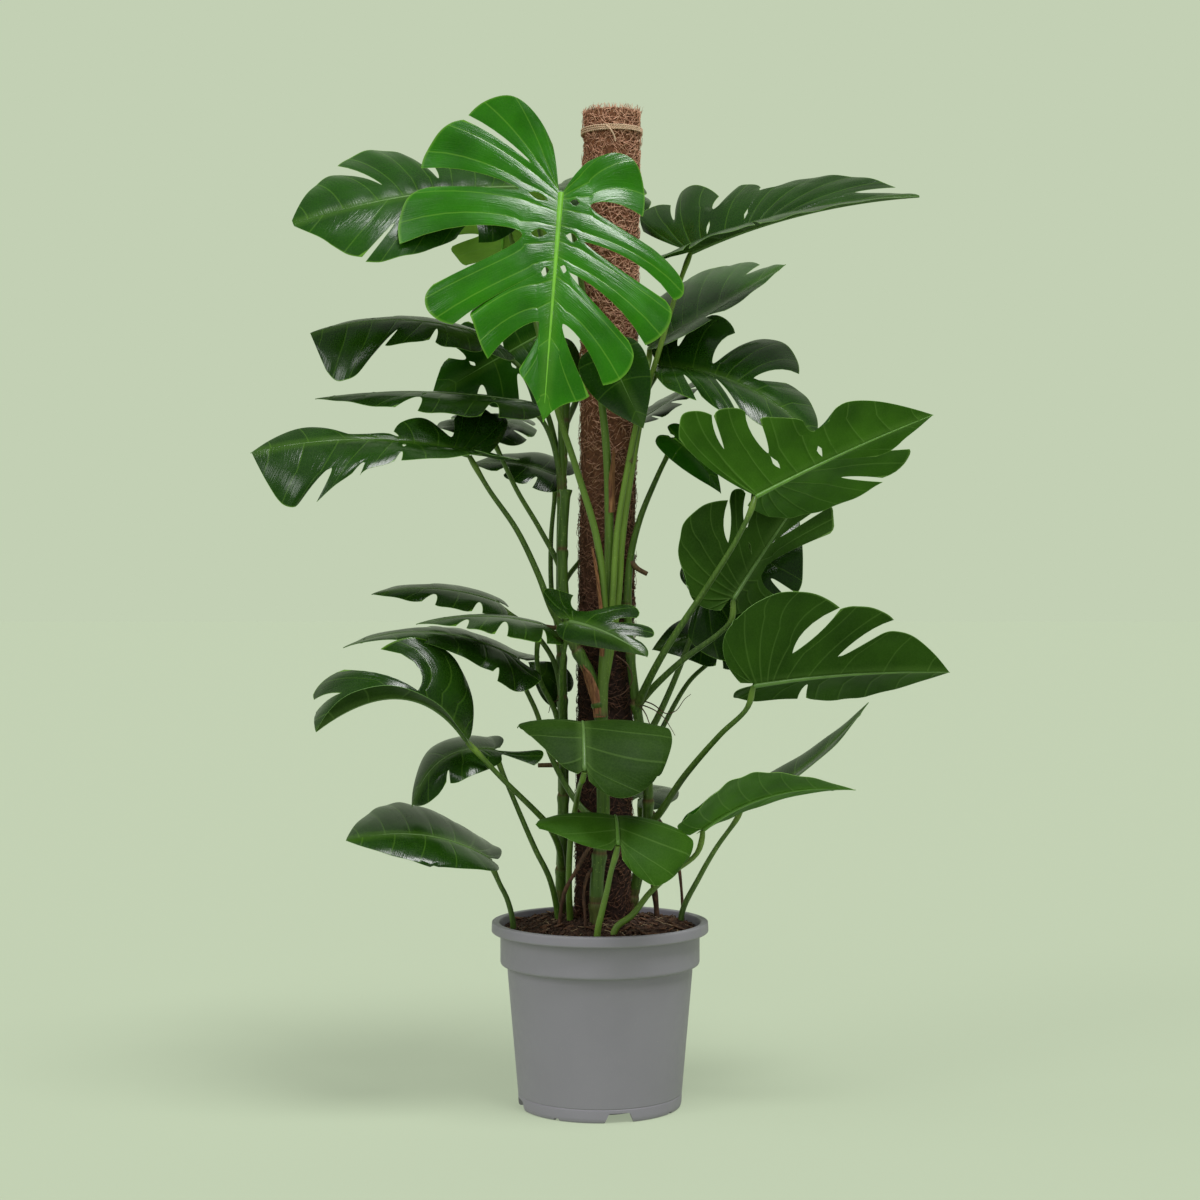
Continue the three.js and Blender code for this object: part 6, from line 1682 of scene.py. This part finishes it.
def scattered(count, sizes, stretch, sink, spread, chance):
    r = spread * np.sqrt(chance.random(count))
    angle = 2 * np.pi * chance.random(count)
    x, y = r * np.cos(angle), r * np.sin(angle)
    size = chance.uniform(*sizes, count)[:, None, None]
    rough = stone_points * chance.uniform(0.7, 1.25, (count, 12, 1)) * stretch * size
    spin, tip = 2 * np.pi * chance.random((2, count, 1))
    tip = 0.5 * np.sin(tip)
    rx = rough[..., 0] * np.cos(spin) - rough[..., 1] * np.sin(spin)
    ry = rough[..., 0] * np.sin(spin) + rough[..., 1] * np.cos(spin)
    rz = rough[..., 2] * np.cos(tip) + rx * np.sin(tip)
    height = soil_height(x, y)[:, None] + rz + (0.5 - sink) * size[..., 0]
    placed = np.stack([rx + x[:, None], ry + y[:, None], height], -1)
    faces = (np.arange(count) * 12)[:, None, None] + stone_faces
    return placed.reshape(-1, 3), faces.reshape(-1, 3).tolist()


chance = np.random.default_rng(70)
crumbs = scattered(2600, (0.9, 2.6), (1, 1, 0.8), 0.2, 118, chance)
lumps = scattered(170, (2.8, 5.4), (1, 0.9, 0.7), 0.35, 112, chance)
chips = scattered(150, (3.5, 7.5), (1.3, 0.7, 0.28), 0.1, 114, chance)
print("crumbs, lumps and chips:", sum(len(faces) // 20 for _, faces in (crumbs, lumps, chips)))

# %% Pale root bits and the whole soil


def fibre_bits(count, length, radius, spread, chance):
    r, angle = spread * np.sqrt(chance.random(count)), 2 * np.pi * chance.random(count)
    way = 2 * np.pi * chance.random(count)
    t = np.linspace(-0.5, 0.5, 7)
    long = chance.uniform(*length, count)[:, None]
    bend = chance.uniform(-0.25, 0.25, count)[:, None] * long * (t ** 2 * 4 - 0.5)
    x = (r * np.cos(angle))[:, None] + long * t * np.cos(way)[:, None] - bend * np.sin(way)[:, None]
    y = (r * np.sin(angle))[:, None] + long * t * np.sin(way)[:, None] + bend * np.cos(way)[:, None]
    z = soil_height(x, y) + 1.2 + chance.uniform(0, 3, count)[:, None] * (t + 0.5)
    return tubes(np.stack([x, y, z], -1), np.full((count, 7), radius), 5)


parts = [ground, crumbs, lumps, chips, fibre_bits(60, (10, 34), 0.42, 114, chance)]
slots = np.repeat([0, 0, 0, 1, 2], [len(part_faces) for _, part_faces in parts])
damp_peat = bark_finish("damp_peat", "#281b13", "#5a4030", 3.0, 0.95, (1, 1, 1))
bark_chip = bark_finish("pine_bark_chip", "#3f281a", "#7a553a", 2.2, 0.85, (1, 1, 1))
pale_root = bark_finish("dry_root_fibre", "#8a7458", "#b9a27e", 2.0, 0.8, (1, 1, 1))
make_piece("potting_soil", *join_meshes(parts), [damp_peat, bark_chip, pale_root], ["soil"],
           "soil", slots, crisp=30)

# %% [markdown]
# ## Coir climbing pole
# The pole is a wooden stake in a sleeve of coconut coir, whose wiry brown fibres are matted and
# pressed with latex. From a step away it looks like a shaggy net, and fine dark gaps show between
# the strands. Real strands are 0.2 to 0.4 mm thick, which is less than a pixel here, so they are
# drawn nearly three times as thick. An uneven core, painted darker than the strands as the shade
# in those gaps, lies under some thousands of bent strands that run round it at every slant, and a
# fringe stands up at the top. Lower down all the coir is painted darker as shade, and towards the
# top it is painted lighter as the light that falls on it.

# %% Core of the sleeve
POLE_RADIUS, POLE_TOP, SLEEVE_BOTTOM, POLE_SEAM = 35.5, 1240, 120, 900
STAKE_RADIUS, STAKE_BOTTOM = 12.5, 24
SLEEVE_SECTORS = 72
pole_foot, pole_head = np.array([3.5, 12]), np.array([15, 12])


def pole_axis(z):
    t = (np.asarray(z, float) - SOIL_LEVEL) / (POLE_TOP - SOIL_LEVEL)
    return mix(pole_foot, pole_head, t[..., None])


def on_pole(angle, z, radius):
    axis = pole_axis(z)
    return np.stack([axis[..., 0] + radius * np.cos(angle), axis[..., 1] + radius * np.sin(angle),
                     z + 0 * radius], -1)


def sleeve_lump(angle, z):
    return (0.7 * np.sin(3 * angle + z / 55) * np.cos(z / 41) + 0.5 * np.sin(11 * angle + z / 7)
            + 0.45 * np.sin(17 * angle - z / 5.1) + 0.35 * np.sin(z / 3.3 + 6 * np.sin(angle * 5)))


levels = np.linspace(SLEEVE_BOTTOM, POLE_TOP - 3, 300)
round_angles = 2 * np.pi * np.arange(SLEEVE_SECTORS) / SLEEVE_SECTORS
angle, z = np.meshgrid(round_angles, levels)
outer = on_pole(angle, z, POLE_RADIUS - 1.5 + sleeve_lump(angle, z))
inner = on_pole(angle[::-40], z[::-40], STAKE_RADIUS + 0.4 + 0 * angle[::-40])
top = [on_pole(round_angles, 0 * round_angles + POLE_TOP - 3 + 1.5 * np.sin(7 * round_angles + n),
               share * POLE_RADIUS + 0 * round_angles) for n, share in enumerate((0.86, 0.7, 0.5))]
rings = np.vstack([outer, top, inner, outer[:1]])
index = np.arange(rings.shape[0] * SLEEVE_SECTORS).reshape(-1, SLEEVE_SECTORS)
index[-1] = index[0]
core_faces = ring_walls(index)
core = (rings[:-1].reshape(-1, 3), core_faces)
print("sleeve core:", len(core_faces), "faces")

# %% Strands of the sleeve
MATTED_EACH = 4800
PROUD = 420
STANDING = 900


def strands(count, z_range, length, lift, thick, slant, chance):
    t = np.linspace(-0.5, 0.5, 6)
    z0 = chance.uniform(*z_range, count)[:, None]
    angle0 = 2 * np.pi * chance.random(count)[:, None]
    tilt = np.radians(chance.normal(0, slant, count))[:, None]
    long = chance.uniform(*length, count)[:, None]
    bend = chance.normal(0, 0.18, count)[:, None] * long * (4 * t ** 2 - 0.5)
    z = z0 + long * t * np.sin(tilt) + bend
    angle = angle0 + long * t * np.cos(tilt) / POLE_RADIUS
    radius = POLE_RADIUS + chance.uniform(*lift, count)[:, None] + 0.6 * np.sin(5 * angle + z / 9)
    radius = radius + chance.normal(0, 0.5, (count, 6))
    z = np.minimum(z, POLE_TOP + 1.5)
    width = chance.uniform(*thick, count)[:, None] * np.array([0.5, 1, 1, 1, 0.9, 0.4])
    return tubes(on_pole(angle, z, radius), width, 3)


chance = np.random.default_rng(80)
matted = [strands(MATTED_EACH, stretch, (7, 20), (-1.6, 1.0), (0.28, 0.56), 46, chance)
          for stretch in ((SOIL_LEVEL - 6, POLE_SEAM), (POLE_SEAM, POLE_TOP - 1))]
proud = strands(
    PROUD, (SOIL_LEVEL + 5, POLE_TOP - 6), (12, 30), (0.4, 2.4), (0.25, 0.4), 48, chance)


def standing_fringe(count, chance):
    t = np.linspace(0, 1, 6)
    angle = 2 * np.pi * chance.random(count)[:, None] + chance.normal(0, 0.12, (count, 1)) * t
    z = POLE_TOP - 9 + chance.uniform(4, 14, count)[:, None] * t
    radius = chance.uniform(14.5, 36, count)[:, None] + chance.normal(0, 2.4, (count, 1)) * t ** 2
    width = chance.uniform(0.3, 0.55, count)[:, None] * np.linspace(1, 0.4, 6)
    return tubes(on_pole(angle, z, radius), width, 3)


sleeve_parts = [core, proud, standing_fringe(STANDING, chance)]
print("strands:", 2 * MATTED_EACH + PROUD + STANDING)

# %% Coir finish


def coir_finish(name, shaded_dark, shaded_pale, lit_dark, lit_pale, rough):
    material, tree = new_material(name)
    place = add_node(tree, "TexCoord").outputs["Object"]
    level = add_node(tree, "SeparateXYZ", {"Vector": place}).outputs["Z"]
    # Low on the pole the coir is painted darker as shade and high up lighter as light, turning
    # between 0.55 m and 0.95 m
    height = add_node(tree, "MapRange", {
        "Value": level, "From Min": 0.55, "From Max": 0.95}).outputs["Result"]
    strand = add_node(tree, "TexNoise", {
        "Vector": place, "Scale": 1 / (3.5 * MM), "Detail": 4.0})
    share = add_node(tree, "MapRange", {
        "Value": strand.outputs["Fac"], "From Min": 0.35, "From Max": 0.65}).outputs["Result"]
    high = layered(tree, lit_dark, (share, lit_pale))
    colour = layered(tree, shaded_dark, (share, shaded_pale), (height, high))
    return finished(material, {
        "Base Color": colour, "Roughness": rough, "Specular IOR Level": 0.3})


# The core's colours are darker than the strands' as painted shade for the gaps between the strands
coir_core = coir_finish("matted_coir", "#170d08", "#33201a", "#5c3b29", "#86593e", 0.95)
coir_strand = coir_finish("coir_fibre", "#33200f", "#684634", "#a8745a", "#dcb092", 0.75)
slots = np.repeat([0, 1, 1], [len(part_faces) for _, part_faces in sleeve_parts])
make_piece("coir_sleeve_matted", *join_meshes(sleeve_parts), [coir_core, coir_strand],
           ["pole_coir_sleeve"], "coir", slots, crisp=60)
for name, part in zip(("coir_strands_lower", "coir_strands_upper"), matted):
    make_piece(name, *part, [coir_strand], ["pole_coir_sleeve"], "coir", crisp=60)

# %% [markdown]
# ## Stake and twine
# The stake is a turned softwood rod. Only its top end shows, in the middle of the coir, with its
# growth rings cut across, and its edge is chamfered. The band of twine that holds the sleeve is
# jute, two plies twisted together, wound round a few times. Each ply is a tube that runs round
# the pole and at the same time round its partner.

# %% Make the stake
chamfer = [(STAKE_BOTTOM, 0.7), (STAKE_BOTTOM + 2, 1), (POLE_TOP - 6, 1), (POLE_TOP - 4, 0.88)]
levels = np.concatenate([[chamfer[0][0]], np.linspace(STAKE_BOTTOM + 2, POLE_TOP - 6, 40),
                         [chamfer[-1][0]]])
width = STAKE_RADIUS * np.interp(levels, *zip(*chamfer))
axis = pole_axis(levels)
stake_mesh = tubes([np.column_stack([axis, levels])], [width], 40)


def wood_finish():
    material, tree = new_material("turned_softwood")
    place = add_node(tree, "TexCoord").outputs["Object"]
    shift = add_node(tree, "Mapping", {
        "Vector": place, "Location": (-pole_head[0] * MM, -pole_head[1] * MM, 0),
        "Scale": (1, 1, 0.02)})
    rings = add_node(tree, "TexWave", {
        "Vector": shift.outputs["Vector"], "Scale": 0.5 / (2.2 * MM) / math.pi, "Distortion": 2.5,
        "Detail": 2.0}, wave_type="RINGS", rings_direction="Z")
    colour = layered(tree, "#a5855c", (rings.outputs["Fac"], "#7c5c3a"))
    ridges = add_node(tree, "Bump", {
        "Height": rings.outputs["Fac"], "Strength": 0.4, "Distance": 0.3 * MM})
    return finished(material, {
        "Base Color": colour, "Roughness": 0.75, "Normal": ridges.outputs["Normal"]})


make_piece("stake_turned", *stake_mesh, [wood_finish()], ["pole_stake"], "stake", crisp=30)

# %% Wind the twine
TWINE_LEVEL = 1213
TURNS = 3
TWISTS = 110
TWINE_RADIUS = 0.7
TWINE_RINGS = 420
t = np.linspace(0, 1, TWINE_RINGS)
angle = 2 * np.pi * TURNS * t
level = TWINE_LEVEL - 3.6 + 7.2 * t + 1.1 * np.sin(angle * 0.93 + 1)
twist = 2 * np.pi * t * TWISTS
plies = []
for ply in (0, math.pi):
    out = POLE_RADIUS + 2.2 + TWINE_RADIUS * np.cos(twist + ply)
    plies.append(on_pole(angle, level + TWINE_RADIUS * np.sin(twist + ply), out))
# The loose end hangs down in front: angle round the pole, height and distance from its axis
loose_end = np.array([(-1.75, 1214, 38.5), (-1.62, 1209, 40), (-1.5, 1201, 39.5),
                      (-1.45, 1194, 38.6)])
end_path = smooth_path(on_pole(*loose_end.T), 40)
twine_parts = [tubes(plies, np.full((2, TWINE_RINGS), TWINE_RADIUS), 6),
               tubes([end_path], [np.full(40, 1.0)], 6)]
twine_jute = bark_finish("twisted_jute", "#bf9c7e", "#efd6ba", 1.2, 0.85, (1, 1, 1))
make_piece("jute_twine", *join_meshes(twine_parts), [twine_jute], ["pole_twine"], "twine")
